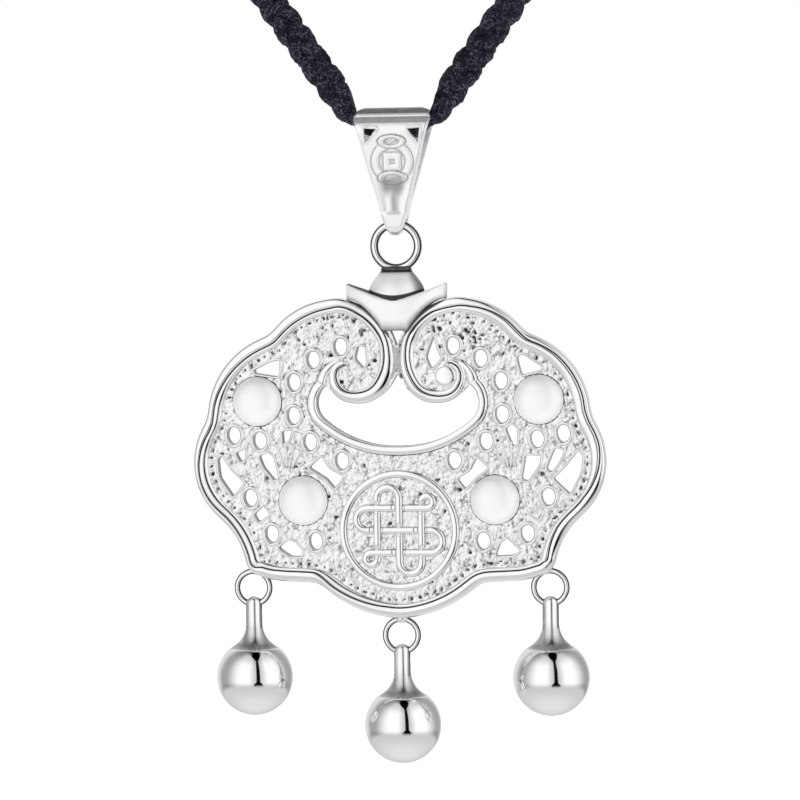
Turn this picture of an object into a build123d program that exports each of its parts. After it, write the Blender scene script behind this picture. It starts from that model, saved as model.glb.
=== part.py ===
from build123d import *
from math import asin, cos, degrees, pi, radians, sin, tan
import os

os.makedirs("parts", exist_ok=True)

# A silver longevity lock on a black knotted cord. All sizes are millimetres.
# The origin is the nape, under the sliding knot of the cord. Seen from the front, X runs to the
# right, Y away from the viewer and Z up.

# Driving dimensions of the cord loop
cord_diameter = 3.2
knot_length = 14.0
knot_diameter = 6.0
knot_rounding = 0.8
loop_height = 144.5          # from the cord in the bail up to the cord at the nape

# Corners of the right half of the loop, from the bail to the sliding knot: across, up
cord_corners = [
    (2.9, 0.0),
    (9.4, 8.8),
    (20.7, 25.3),
    (41.7, 57.0),
    (65.7, 93.9),
    (73.4, 117.7),
    (66.4, 134.2),
    (44.5, 143.0),
    (20.0, loop_height),
    (knot_length / 2, loop_height),
]

# Heights, measured up from the lock's datum, which is just above the middle of the plate
cord_above_datum = 32.7
bail_wire_above_datum = 23.2
datum_z = knot_diameter / 2 - loop_height - cord_above_datum

# Driving dimensions of the plate
plate_thickness = 1.5
rim_thickness = 2.4
rim_width = 1.55
rim_rounding = 0.7
top_of_plate = 15.5
scroll_shoulder = 5.0

# The plate's edge, right half, from the top down: a point on each lobe's arc, then its end.
# A middle of None is a straight stretch.
plate_edge = [
    ((9.4, 15.0), (13.2, 11.95)),
    ((18.2, 8.4), (19.85, 3.3)),
    ((21.35, -1.9), (18.4, -7.3)),
    ((16.9, -9.2), (15.9, -12.6)),
    (None, (12.9, -13.5)),
    (None, (8.4, -13.7)),
    ((4.6, -16.3), (0.0, -17.4)),
]
edge_blend = 1.5             # radius where two lobes meet

# The bean-shaped opening under the scrolls, right half, from the slit between them down
bean_top = (0.0, 8.0)
bean_edge = [
    ((0.85, 6.5), (2.5, 5.1)),
    ((4.9, 4.95), (7.4, 6.75)),
    ((8.4, 5.0), (7.9, 3.4)),
    ((4.6, 1.25), (0.0, 0.4)),
]
bean_rim_width = 1.0
bean_rim_height = 0.35
bean_rim_top = 4.9           # the raised rim stops here on either side

# The scroll that the rim curls into, right half: its start, then a point on each arc and its end
scroll_start = (5.2, 14.7)
scroll_arcs = [
    ((2.7, 13.3), (1.35, 11.3)),
    ((1.15, 9.2), (1.75, 7.2)),
    ((2.7, 6.0), (4.4, 5.55)),
    ((6.2, 6.3), (6.6, 7.9)),
    ((6.2, 8.7), (5.3, 8.9)),
]
scroll_width = 1.1
scroll_eye = (5.0, 7.7)
scroll_eye_radius = 0.95

# Three-cornered gap between the ingot and the scrolls, pointing down
throat_half_width = 0.9
throat_top = 12.9
throat_bottom = 10.65

# Round holes with a raised ring, as pairs either side of the middle: across, up
ringed_holes = [
    (5.83, 10.67),
    (8.67, 9.35),
    (10.72, 7.05),
    (10.82, 3.6),
    (17.1, 1.6),
    (14.4, 1.05),
    (9.13, 0.87),
    (5.83, -1.1),
    (15.47, -4.88),
    (13.28, -8.63),
    (8.7, -9.4),
]
ringed_hole_width = 1.45
ringed_hole_length = 1.85
ring_border = 0.3
ring_height = 0.3

# Shaped holes, each by its corners: across, up
shaped_holes = [
    [(-4.05, 10.75), (-3.25, 10.65), (-3.1, 8.9), (-3.5, 8.4), (-4.4, 9.4)],
    [(-15.0, 8.3), (-13.2, 9.2), (-12.15, 9.4), (-12.3, 7.6), (-14.9, 8.0)],
    [(-12.1, 2.0), (-11.0, 2.1), (-11.3, 1.1), (-12.0, 0.6)],
    [(-17.0, -0.25), (-15.9, 0.2), (-15.95, -0.9), (-16.5, -1.2)],
    [(-14.55, -0.6), (-13.6, -0.15), (-13.0, -0.6), (-12.5, -2.9), (-13.0, -3.1), (-14.1, -1.75)],
    [(-18.9, -1.0), (-18.5, -0.4), (-17.4, -2.1), (-16.1, -3.3), (-17.35, -4.8), (-18.7, -2.8)],
    [(-9.35, -1.8), (-8.0, -0.6), (-7.2, -1.9), (-5.7, -2.7), (-6.7, -4.0), (-7.6, -2.9)],
    [(-15.2, -6.65), (-14.15, -5.7), (-13.45, -6.65), (-14.7, -7.45)],
    [(-12.7, -10.1), (-11.6, -9.2), (-10.8, -9.5), (-10.1, -10.3), (-10.2, -11.0), (-11.4, -11.0)],
    [(3.85, 11.8), (4.2, 10.4), (4.6, 9.4), (4.0, 8.6), (3.5, 8.3), (3.0, 9.5)],
    [(12.35, 9.4), (12.95, 9.8), (15.05, 8.4), (14.7, 8.0), (12.8, 7.6)],
    [(11.1, 2.1), (11.8, 2.6), (12.35, 2.2), (12.3, 0.4), (11.8, 0.3)],
    [(16.2, 0.15), (17.2, -0.15), (16.6, -1.4), (15.85, -2.4), (15.25, -2.1)],
    [(13.15, -0.6), (14.7, -0.65), (14.6, -1.6), (13.4, -3.3), (12.7, -3.1)],
    [(18.6, -0.15), (19.0, -0.7), (18.9, -2.2), (17.7, -4.7), (15.95, -3.05), (17.1, -2.0)],
    [(8.1, -0.8), (9.35, -1.9), (8.0, -2.9), (6.85, -4.1), (6.05, -3.05), (7.4, -2.2)],
    [(11.1, -9.1), (12.5, -10.4), (11.8, -10.9), (9.9, -11.0), (10.4, -9.7)],
]
hole_corner_radius = 0.12

# The one shaped hole that the casting left closed
blind_hole = [(14.0, -5.7), (15.1, -6.4), (14.5, -7.4), (13.4, -6.7)]
blind_hole_depth = 0.5

# Plain domes on the face: across, up
domes = [(14.6, 5.1), (-14.6, 5.1), (9.95, -5.17), (-9.95, -5.17)]
dome_width = 5.1
dome_rise = 1.5

# Medallion with an endless knot
medallion_up = -8.3
medallion_width = 12.4
medallion_bar = 0.72
medallion_relief = 0.32
knot_pitch = 2.3             # between neighbouring strands of the endless knot
knot_reach = 3.3             # from the middle to where a strand turns

# Fans of thin ribs between the upper and lower domes, as pairs: pivot, reach and rib angles
fan_pivot = (11.6, -2.7)
fan_inner = 0.9
fan_outer = 3.6
fan_angles = [72, 88, 104, 120]
rib_width = 0.26
rib_height = 0.25

# Gold-ingot shaped collar and its dome
ingot_half_length = 5.1
ingot_half_depth = 3.0
ingot_tip = 17.1
ingot_waist = 15.5
ingot_foot = 12.3
ingot_foot_half_width = 1.3
ingot_flank = (2.7, 14.4)    # a point on the arc from waist to foot
ingot_saddle = 15.5          # lowest point of the boat's upper edge
ingot_plan_half_length = 5.4 # of the boat's ellipse, seen from above
egg_foot = 13.3
egg_foot_radius = 2.15
egg_flank = (2.7, 15.2)
egg_radius = 2.75
egg_shoulder = 16.6
egg_crown = (2.42, 17.5)
egg_top = 18.6
egg_top_radius = 1.75

# Wire rings, soldered on: the big one at the top and three small ones under the rim
top_ring_radius = 2.26       # to the middle of the wire
top_wire = 0.84
small_ring_radius = 1.7
small_wire = 0.6
small_rings = {"left": (-15.45, -14.25), "middle": (0.0, -19.2), "right": (15.45, -14.25)}
solder_radius = 0.55
solder_inward = 0.965        # the side rings are soldered a little towards the middle

# Bail
bail_arch_radius = 2.28
bail_sheet = 0.4
bail_tongue_radius = 1.07
bail_hollow_foot = 25.8      # lowest point of the bail's hollow, above the datum
bail_foot_radius = 0.22
bail_room = 0.15             # clear space round the cord and the ring's wire
# Half widths of the bail seen from the front, from the tongue up: half width, up
bail_front = [
    (0.3, 21.9),
    (0.98, 23.1),
    (1.32, 24.2),
    (1.45, 25.1),
    (1.75, 26.1),
    (2.25, 27.8),
    (2.92, 30.3),
    (3.35, 32.0),
    (3.93, 33.9),
]
bail_blank_half_width = 5.0  # of the sheet before it is trimmed
bail_top_half_width = 2.7
bail_top = 35.1              # above the arch, so that the arch itself is the top edge
bail_tip = 21.9
bail_shoulder = (3.66, 34.64)
tongue_hole_throat = 0.57    # radius of the hole for the ring's wire, in the middle of the tongue
tongue_hole_mouth = 0.9      # and where it leaves the tongue
tongue_hole_reach = 1.5
bail_peaks = [(1.6, 32.9), (2.85, 33.0), (2.7, 31.6)]
roundel_up = 29.6
roundel_radius = 1.9
roundel_bar = 0.35
roundel_square = 1.5
roundel_relief = 0.2

# Ball drops
drop_ball_radius = 3.95
drop_length = 9.3            # from the middle of its ring to the middle of the ball
drop_neck_half_width = 0.85
drop_eye_radius = 0.85
drop_eye_room = 0.12
drop_eye_sink = 1.0          # how far the eye's shank reaches down into the neck
drop_flare_up = 5.9          # where the neck starts to widen, above the middle of the ball
drop_ball_leaves = (2.6, 2.974)
drop_flare = (1.3, 4.1)

# Sizes that follow from the ones above
dome_sphere = ((dome_width / 2) ** 2 + dome_rise**2) / (2 * dome_rise)
dome_centre = plate_thickness / 2 + dome_rise - dome_sphere
dome_from_angle = degrees(asin((plate_thickness / 3 - dome_centre) / dome_sphere))
top_ring_up = bail_wire_above_datum - top_ring_radius

bail_sheet_lean = degrees(asin((bail_arch_radius - bail_tongue_radius)
                               / (cord_above_datum - bail_wire_above_datum)))

# Planes that face the viewer, with X across and Z up
face = Plane(origin=(0, 0, datum_z), x_dir=(1, 0, 0), z_dir=(0, -1, 0))
plate_front = face.offset(plate_thickness / 2)

# The bail's front sheet slopes inwards, from the arch down to the tongue
roundel_forward = (bail_arch_radius
                   - (cord_above_datum - roundel_up) * sin(radians(bail_sheet_lean))) / cos(
                       radians(bail_sheet_lean))
roundel_plane = Plane(
    origin=(0, -roundel_forward, datum_z + roundel_up),
    x_dir=(1, 0, 0),
    z_dir=(0, -cos(radians(bail_sheet_lean)), -sin(radians(bail_sheet_lean))),
).offset(roundel_relief)


def face_location(across, up, forward=0.0):
    """A place on the lock, in the directions of the face plane."""
    return face.location * Location((across, up, forward))


def arcs(start, table):
    """A chain of arcs and straight stretches, from a table of (middle, end)."""
    here = start
    for middle, end in table:
        if middle is None:
            Line(here, end)
        else:
            ThreePointArc(here, middle, end)
        here = end


def mirrored(points):
    """The points and their mirror images, as one closed run."""
    return points + [(-across, up) for across, up in reversed(points)]


# Outlines that more than one operation uses

with BuildSketch(face) as plate_outline:
    with BuildLine():
        Line((0, top_of_plate), (scroll_shoulder, top_of_plate))
        arcs((scroll_shoulder, top_of_plate), plate_edge)
        mirror(about=Plane.YZ)
    make_face()
    fillet([v for v in plate_outline.vertices() if abs(v.X) > scroll_start[0]], edge_blend)

with BuildSketch(face) as bean_outline:
    with BuildLine():
        arcs(bean_top, bean_edge)
        mirror(about=Plane.YZ)
    make_face()

with BuildSketch(face) as ground_outline:
    add(plate_outline.sketch_local)
    offset(amount=-rim_width, kind=Kind.ARC, mode=Mode.REPLACE)

with BuildSketch() as end_turn:
    Circle((knot_pitch + medallion_bar) / 2)
    Circle((knot_pitch - medallion_bar) / 2, mode=Mode.SUBTRACT)
    Rectangle(2 * knot_pitch, knot_pitch, align=(Align.CENTER, Align.MAX), mode=Mode.SUBTRACT)

with BuildSketch() as corner_turn:
    Circle(knot_reach - knot_pitch + medallion_bar / 2)
    Circle(knot_reach - knot_pitch - medallion_bar / 2, mode=Mode.SUBTRACT)
    Rectangle(knot_reach, knot_reach, align=(Align.MIN, Align.MIN), mode=Mode.INTERSECT)

with BuildSketch(face) as endless_knot:
    for lane in (-knot_pitch, 0, knot_pitch):
        with Locations((lane, 0)):
            Rectangle(medallion_bar, 2 * knot_reach)
        with Locations((0, lane)):
            Rectangle(2 * knot_reach, medallion_bar)
    for quarter in (0, 180):
        with Locations(Location((0, 0, 0), (0, 0, quarter))):
            with Locations((-knot_pitch / 2, knot_reach)):
                add(end_turn.sketch)
            with Locations(Location((knot_reach, -knot_pitch / 2, 0), (0, 0, -90))):
                add(end_turn.sketch)
            with Locations((knot_pitch, knot_pitch)):
                add(corner_turn.sketch)

# Ingot: a boat in plan, cut from its front outline, with an egg standing in it

with BuildPart() as ingot:
    with BuildSketch(face):
        with BuildLine():
            saddle = ThreePointArc((-ingot_half_length, ingot_tip), (0, ingot_saddle),
                                   (ingot_half_length, ingot_tip), mode=Mode.PRIVATE)
            add(saddle.trim(0.5, 1))
            Line((ingot_half_length, ingot_tip), (ingot_half_length, ingot_waist))
            ThreePointArc((ingot_half_length, ingot_waist), ingot_flank,
                          (ingot_foot_half_width, ingot_foot))
            Line((ingot_foot_half_width, ingot_foot), (0, ingot_foot))
            mirror(about=Plane.YZ)
        make_face()
    extrude(amount=ingot_half_depth, both=True)
    with BuildSketch(Plane.XY.offset(datum_z + ingot_foot)):
        Ellipse(ingot_plan_half_length, ingot_half_depth)
    extrude(amount=ingot_tip - ingot_foot, mode=Mode.INTERSECT)
    with BuildSketch(face):
        with BuildLine():
            Line((0, egg_foot), (egg_foot_radius, egg_foot))
            ThreePointArc((egg_foot_radius, egg_foot), egg_flank, (egg_radius, egg_shoulder))
            ThreePointArc((egg_radius, egg_shoulder), egg_crown, (egg_top_radius, egg_top))
            Line((egg_top_radius, egg_top), (0, egg_top))
            Line((0, egg_top), (0, egg_foot))
        make_face()
    revolve(axis=Axis((0, 0, 0), (0, 0, 1)))

# Lock body: everything that is cast or soldered together

with BuildPart() as lock_body:
    extrude(plate_outline.sketch, amount=rim_thickness / 2, both=True)
    fillet(
        lock_body.edges().filter_by_position(Axis.Y, -rim_thickness / 2, -rim_thickness / 2)
        + lock_body.edges().filter_by_position(Axis.Y, rim_thickness / 2, rim_thickness / 2),
        radius=rim_rounding,
    )
    for facing in (1, -1):
        with BuildSketch(face.offset(facing * plate_thickness / 2)):
            add(ground_outline.sketch_local)
        extrude(amount=facing * rim_thickness, mode=Mode.SUBTRACT)

    # raised rim of the bean-shaped opening, its lower side only
    with BuildSketch(plate_front):
        add(bean_outline.sketch_local)
        offset(amount=bean_rim_width, kind=Kind.ARC)
        with Locations((0, bean_rim_top)):
            Rectangle(2 * top_of_plate, top_of_plate, align=(Align.CENTER, Align.MIN),
                      mode=Mode.SUBTRACT)
    extrude(amount=bean_rim_height)

    # scrolls, each with a round eye
    with BuildSketch(plate_front):
        with BuildLine():
            arcs(scroll_start, scroll_arcs)
        trace(line_width=scroll_width)
        with Locations(scroll_eye):
            Circle(scroll_eye_radius)
        mirror(about=Plane.YZ)
    extrude(amount=(rim_thickness - plate_thickness) / 2)

    # raised rings of the round holes
    with BuildSketch(plate_front):
        with Locations(mirrored(ringed_holes)):
            Ellipse(ringed_hole_width / 2 + ring_border, ringed_hole_length / 2 + ring_border)
    extrude(amount=ring_height)

    # medallion: a round border and an endless knot, whose strands turn in loops at their ends
    with BuildSketch(plate_front):
        with Locations((0, medallion_up)):
            Circle(medallion_width / 2)
            Circle(medallion_width / 2 - medallion_bar, mode=Mode.SUBTRACT)
            add(endless_knot.sketch_local)
    extrude(amount=medallion_relief)

    # fans of ribs between the domes
    with BuildSketch(plate_front):
        for angle in fan_angles:
            with Locations(fan_pivot):
                with Locations(Location((0, 0, 0), (0, 0, angle))):
                    with Locations(((fan_inner + fan_outer) / 2, 0)):
                        SlotOverall(fan_outer - fan_inner, rib_width)
        mirror(about=Plane.YZ)
    extrude(amount=rib_height)

    # openings, cut through
    with BuildSketch(face):
        add(bean_outline.sketch_local)
        Polygon((-throat_half_width, throat_top), (throat_half_width, throat_top),
                (0, throat_bottom), align=None)
        with Locations(mirrored(ringed_holes)):
            Ellipse(ringed_hole_width / 2, ringed_hole_length / 2)
        for corners in shaped_holes:
            with BuildSketch(mode=Mode.ADD) as hole:
                Polygon(*corners, align=None)
                fillet(hole.vertices(), hole_corner_radius)
    extrude(amount=rim_thickness, both=True, mode=Mode.SUBTRACT)
    with BuildSketch(plate_front):
        Polygon(*blind_hole, align=None)
    extrude(amount=-blind_hole_depth, mode=Mode.SUBTRACT)

    # plain domes
    with Locations([face_location(across, up, dome_centre) for across, up in domes]):
        Sphere(dome_sphere, arc_size1=dome_from_angle)

    add(ingot.part)

    # wire rings in the plane of the plate
    with Locations(face_location(0, top_ring_up)):
        Torus(top_ring_radius, top_wire / 2)
    with Locations([face_location(across, up) for across, up in small_rings.values()]):
        Torus(small_ring_radius, small_wire / 2)
    with BuildSketch(face):
        with Locations([(across * solder_inward, up + small_ring_radius)
                        for across, up in small_rings.values()]):
            Circle(solder_radius)
    extrude(amount=solder_radius, both=True)
lock_body.part.label = "lock_body"
export_step(lock_body.part, "parts/lock_body.step")

# The cord's route: down the left leg, through the bail and up the right leg

cord_route = [(-across, up) for across, up in reversed(cord_corners)] + cord_corners
cord_points = [Vector(across, 0, datum_z + cord_above_datum + up) for across, up in cord_route]
cord_radii = []
for before, here, after in zip(cord_points, cord_points[1:], cord_points[2:]):
    turn = (here - before).get_angle(after - here)
    shorter_run = min((here - before).length, (after - here).length)
    cord_radii.append(0.45 * shorter_run / tan(radians(turn) / 2))

with BuildPart() as neck_cord:
    with BuildLine() as cord_line:
        FilletPolyline(*cord_points, radius=cord_radii)
    with BuildSketch(Plane(origin=cord_line.line @ 0, z_dir=cord_line.line % 0)):
        Circle(cord_diameter / 2)
    sweep()
neck_cord.part.label = "neck_cord"
export_step(neck_cord.part, "parts/neck_cord.step")

cord_length = cord_line.wire().length
cord_section = pi * (cord_diameter / 2) ** 2
print("cord bends, mm:", [round(radius, 1) for radius in cord_radii])
print("cord length, mm:", round(cord_length, 1))
volume_ratio = neck_cord.part.volume / (cord_section * cord_length)
print("cord volume over section times length:", round(volume_ratio, 4))

# The sliding knot that closes the loop at the nape, as one plain barrel

with BuildPart() as cord_closure:
    with BuildSketch(Plane.YZ.offset(-knot_length / 2)):
        with Locations((0, knot_diameter / 2)):
            Circle(knot_diameter / 2)
    extrude(amount=knot_length)
    fillet(cord_closure.edges().filter_by(GeomType.CIRCLE), radius=knot_rounding)
cord_closure.part.label = "cord_closure"
export_step(cord_closure.part, "parts/cord_closure.step")

# Room that the cord and the ring's wire need inside the bail

with BuildPart() as cord_room:
    middle = len(cord_points) // 2
    with BuildLine() as bail_stretch:
        FilletPolyline(*cord_points[middle - 2:middle + 2], radius=cord_radii[middle - 2:middle])
    with BuildSketch(Plane(origin=bail_stretch.line @ 0, z_dir=bail_stretch.line % 0)):
        Circle(cord_diameter / 2 + bail_room)
    sweep()

# The ring's wire curves away to either side, so its hole in the tongue widens outwards
bail_wire = face_location(0, bail_wire_above_datum).position

with BuildPart() as wire_room:
    with BuildSketch(face):
        with BuildLine():
            Line((-tongue_hole_reach, bail_wire_above_datum), (tongue_hole_reach, bail_wire_above_datum))
            Line((tongue_hole_reach, bail_wire_above_datum),
                 (tongue_hole_reach, bail_wire_above_datum + tongue_hole_mouth))
            ThreePointArc((tongue_hole_reach, bail_wire_above_datum + tongue_hole_mouth),
                          (0, bail_wire_above_datum + tongue_hole_throat),
                          (-tongue_hole_reach, bail_wire_above_datum + tongue_hole_mouth))
            Line((-tongue_hole_reach, bail_wire_above_datum + tongue_hole_mouth),
                 (-tongue_hole_reach, bail_wire_above_datum))
        make_face()
    revolve(axis=Axis(bail_wire, (1, 0, 0)))

# Bail: a teardrop of sheet in side view, trimmed to its outline in front view

side_view = Plane(origin=(0, 0, datum_z), x_dir=(0, 1, 0), z_dir=(1, 0, 0))

with BuildPart() as bail:
    with BuildSketch(side_view):
        with Locations((0, cord_above_datum)):
            Circle(bail_arch_radius)
        with Locations((0, bail_wire_above_datum)):
            Circle(bail_tongue_radius)
        make_hull()
    extrude(amount=bail_blank_half_width, both=True)
    with BuildSketch(face):
        with BuildLine():
            Spline(*bail_front)
            ThreePointArc(bail_front[-1], bail_shoulder, (bail_top_half_width, bail_top))
            Line((bail_top_half_width, bail_top), (0, bail_top))
            Line((0, bail_tip), bail_front[0])
            mirror(about=Plane.YZ)
        make_face()
    extrude(amount=2 * bail_arch_radius, both=True, mode=Mode.INTERSECT)
    with BuildSketch(side_view):
        with Locations((0, cord_above_datum)):
            Circle(bail_arch_radius - bail_sheet)
        with Locations((0, bail_hollow_foot)):
            Circle(bail_foot_radius)
        make_hull()
    extrude(amount=bail_blank_half_width, both=True, mode=Mode.SUBTRACT)
    add(cord_room.part, mode=Mode.SUBTRACT)
    add(wire_room.part, mode=Mode.SUBTRACT)

    # two small pierced triangles, through the front sheet only
    with BuildSketch(face):
        Polygon(*bail_peaks, align=None)
        mirror(about=Plane.YZ)
    extrude(amount=2 * bail_arch_radius, mode=Mode.SUBTRACT)

    # raised coin: a round border with a square inside, on the sloping sheet
    with BuildSketch(roundel_plane):
        Circle(roundel_radius)
        Circle(roundel_radius - roundel_bar, mode=Mode.SUBTRACT)
        Rectangle(roundel_square, roundel_square)
        Rectangle(roundel_square - 2 * roundel_bar, roundel_square - 2 * roundel_bar,
                  mode=Mode.SUBTRACT)
    extrude(amount=-bail_sheet / 2)
bail.part.label = "bail"
export_step(bail.part, "parts/bail.step")

# Ball drops, each hanging straight down from its ring

drop_shank = drop_length - small_ring_radius - drop_flare_up + drop_eye_sink

for name, (across, up) in small_rings.items():
    ring_centre = face_location(across, up).position
    ball_centre = ring_centre - Vector(0, 0, drop_length)
    with BuildPart() as drop:
        with BuildSketch(Plane(origin=ball_centre, x_dir=(1, 0, 0), z_dir=(0, -1, 0))):
            with BuildLine():
                ThreePointArc((0, -drop_ball_radius), (drop_ball_radius, 0), drop_ball_leaves)
                ThreePointArc(drop_ball_leaves, drop_flare, (drop_neck_half_width, drop_flare_up))
                Line((drop_neck_half_width, drop_flare_up), (0, drop_flare_up))
                Line((0, drop_flare_up), (0, -drop_ball_radius))
            make_face()
        revolve(axis=Axis(ball_centre, (0, 0, 1)))
        with BuildSketch(Plane(origin=ring_centre - Vector(0, 0, small_ring_radius),
                               x_dir=(0, 1, 0), z_dir=(1, 0, 0))):
            Circle(drop_eye_radius)
            Rectangle(2 * drop_eye_radius, drop_shank, align=(Align.CENTER, Align.MAX))
        extrude(amount=drop_neck_half_width, both=True)
        with Locations(face_location(across, up)):
            Torus(small_ring_radius, small_wire / 2 + drop_eye_room, mode=Mode.SUBTRACT)
    drop.part.label = f"drop_{name}"
    export_step(drop.part, f"parts/drop_{name}.step")
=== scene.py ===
import math
import random

import bmesh
import bpy
from mathutils import Matrix, Vector, noise
from mathutils.geometry import delaunay_2d_cdt


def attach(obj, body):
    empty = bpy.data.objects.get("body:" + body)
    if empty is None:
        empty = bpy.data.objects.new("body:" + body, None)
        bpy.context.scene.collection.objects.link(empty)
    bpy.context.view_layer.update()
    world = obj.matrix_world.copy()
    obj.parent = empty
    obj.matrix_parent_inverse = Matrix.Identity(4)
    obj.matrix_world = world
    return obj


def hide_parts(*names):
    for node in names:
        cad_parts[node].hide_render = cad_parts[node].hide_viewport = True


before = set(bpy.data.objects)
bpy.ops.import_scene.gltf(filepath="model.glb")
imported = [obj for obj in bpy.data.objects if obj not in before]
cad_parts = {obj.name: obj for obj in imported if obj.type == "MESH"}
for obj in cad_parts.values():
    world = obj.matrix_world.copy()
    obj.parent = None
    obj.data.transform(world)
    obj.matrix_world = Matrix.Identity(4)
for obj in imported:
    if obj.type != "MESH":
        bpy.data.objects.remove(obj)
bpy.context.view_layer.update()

# A silver longevity lock on a black knotted cord. Blender works in metres; the tables below are in
# millimetres, as a maker would measure them on the lock: across, up from the lock's datum, and
# forward from the middle of its plate.
MM = 0.001
DATUM = -174.2


def on_lock(across, up, forward=0.0):
    """A place on the lock, in metres in the part's frame."""
    return Vector((across, -forward, DATUM + up)) * MM


# Measures of the lock, as in the part's own source

PLATE_HALF = 0.75
RIM_HALF = 1.2
RIM_WIDTH = 1.55

PLATE_EDGE = [
    (None, (5.0, 15.5)),
    ((9.4, 15.0), (13.2, 11.95)),
    ((18.2, 8.4), (19.85, 3.3)),
    ((21.35, -1.9), (18.4, -7.3)),
    ((16.9, -9.2), (15.9, -12.6)),
    (None, (12.9, -13.5)),
    (None, (8.4, -13.7)),
    ((4.6, -16.3), (0.0, -17.4)),
]
PLATE_TOP = (0.0, 15.5)

BEAN_TOP = (0.0, 8.0)
BEAN_EDGE = [
    ((0.85, 6.5), (2.5, 5.1)),
    ((4.9, 4.95), (7.4, 6.75)),
    ((8.4, 5.0), (7.9, 3.4)),
    ((4.6, 1.25), (0.0, 0.4)),
]
BEAN_LIP_WIDTH = 1.0
# The lip starts beside the curl, rounds the corner of the opening and follows its lower edge
LIP_START = (5.7, 9.0)
LIP_EDGE = [((6.95, 8.15), (7.4, 6.75))] + BEAN_EDGE[2:]

SCROLL_START = (7.0, 14.8)
SCROLL_ARCS = [
    ((6.1, 14.88), (5.2, 14.7)),
    ((2.7, 13.3), (1.35, 11.3)),
    ((1.15, 9.2), (1.75, 7.2)),
    ((2.7, 6.0), (4.4, 5.55)),
    ((6.2, 6.3), (6.6, 7.9)),
    ((6.2, 8.7), (5.3, 8.9)),
]
SCROLL_BLOB = (5.05, 7.5)
SCROLL_BLOB_RADIUS = 1.15

THROAT = [(-0.9, 12.9), (0.9, 12.9), (0.0, 10.65)]

RINGED_HOLES = [
    (5.83, 10.67),
    (8.67, 9.35),
    (10.72, 7.05),
    (10.82, 3.6),
    (17.1, 1.6),
    (14.4, 1.05),
    (9.13, 0.87),
    (5.83, -1.1),
    (15.47, -4.88),
    (13.28, -8.63),
    (8.7, -9.4),
]
RINGED_HOLE_HALF = (0.725, 0.925)
RING_BORDER = 0.3

SHAPED_HOLES = [
    [(-4.05, 10.75), (-3.25, 10.65), (-3.1, 8.9), (-3.5, 8.4), (-4.4, 9.4)],
    [(-15.0, 8.3), (-13.2, 9.2), (-12.15, 9.4), (-12.3, 7.6), (-14.9, 8.0)],
    [(-12.1, 2.0), (-11.0, 2.1), (-11.3, 1.1), (-12.0, 0.6)],
    [(-17.0, -0.25), (-15.9, 0.2), (-15.95, -0.9), (-16.5, -1.2)],
    [(-14.55, -0.6), (-13.6, -0.15), (-13.0, -0.6), (-12.5, -2.9), (-13.0, -3.1), (-14.1, -1.75)],
    [(-18.9, -1.0), (-18.5, -0.4), (-17.4, -2.1), (-16.1, -3.3), (-17.35, -4.8), (-18.7, -2.8)],
    [(-9.35, -1.8), (-8.0, -0.6), (-7.2, -1.9), (-5.7, -2.7), (-6.7, -4.0), (-7.6, -2.9)],
    [(-15.2, -6.65), (-14.15, -5.7), (-13.45, -6.65), (-14.7, -7.45)],
    [(-12.7, -10.1), (-11.6, -9.2), (-10.8, -9.5), (-10.1, -10.3), (-10.2, -11.0), (-11.4, -11.0)],
    [(3.85, 11.8), (4.2, 10.4), (4.6, 9.4), (4.0, 8.6), (3.5, 8.3), (3.0, 9.5)],
    [(12.35, 9.4), (12.95, 9.8), (15.05, 8.4), (14.7, 8.0), (12.8, 7.6)],
    [(11.1, 2.1), (11.8, 2.6), (12.35, 2.2), (12.3, 0.4), (11.8, 0.3)],
    [(16.2, 0.15), (17.2, -0.15), (16.6, -1.4), (15.85, -2.4), (15.25, -2.1)],
    [(13.15, -0.6), (14.7, -0.65), (14.6, -1.6), (13.4, -3.3), (12.7, -3.1)],
    [(18.6, -0.15), (19.0, -0.7), (18.9, -2.2), (17.7, -4.7), (15.95, -3.05), (17.1, -2.0)],
    [(8.1, -0.8), (9.35, -1.9), (8.0, -2.9), (6.85, -4.1), (6.05, -3.05), (7.4, -2.2)],
    [(11.1, -9.1), (12.5, -10.4), (11.8, -10.9), (9.9, -11.0), (10.4, -9.7)],
]
BLIND_HOLE = [(14.0, -5.7), (15.1, -6.4), (14.5, -7.4), (13.4, -6.7)]
HOLE_CORNER = 0.12

DOMES = [(14.6, 5.1), (-14.6, 5.1), (9.95, -5.17), (-9.95, -5.17)]
DOME_RADIUS = 2.55
DOME_RISE = 1.5

MEDALLION_UP = -8.3
MEDALLION_RADIUS = 6.2
MEDALLION_BAR = 0.72
MEDALLION_RELIEF = 0.32
KNOT_PITCH = 2.3
KNOT_REACH = 3.3
KNOT_CORNER = 0.62

FAN_PIVOT = (11.6, -2.7)
FAN_REACH = (0.9, 3.6)
FAN_ANGLES = [72, 88, 104, 120]

TOP_RING_UP = 20.94
TOP_RING_RADIUS = 2.26
TOP_WIRE = 0.42
SMALL_RINGS = {"left": (-15.45, -14.25), "middle": (0.0, -19.2), "right": (15.45, -14.25)}
SMALL_RING_RADIUS = 1.7
SMALL_WIRE = 0.3
# The painted shade along a wire is darkest where its side leans this much, and fades over the next number
WIRE_SHOULDER = 0.74
WIRE_SHADE_WIDTH = 0.26

DROP_LENGTH = 9.3
DROP_RADIUS = 3.95

CORD_UP = 32.7
KNOT_LENGTH = 14.0
KNOT_DIAMETER = 6.0
CORD_CORNERS = [
    (2.9, 0.0),
    (9.4, 8.8),
    (20.7, 25.3),
    (41.7, 57.0),
    (65.7, 93.9),
    (73.4, 117.7),
    (66.4, 134.2),
    (44.5, 143.0),
    (20.0, 144.5),
    (7.0, 144.5),
]


# Lines drawn on the lock's face

LINE_STEP = 0.2


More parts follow.
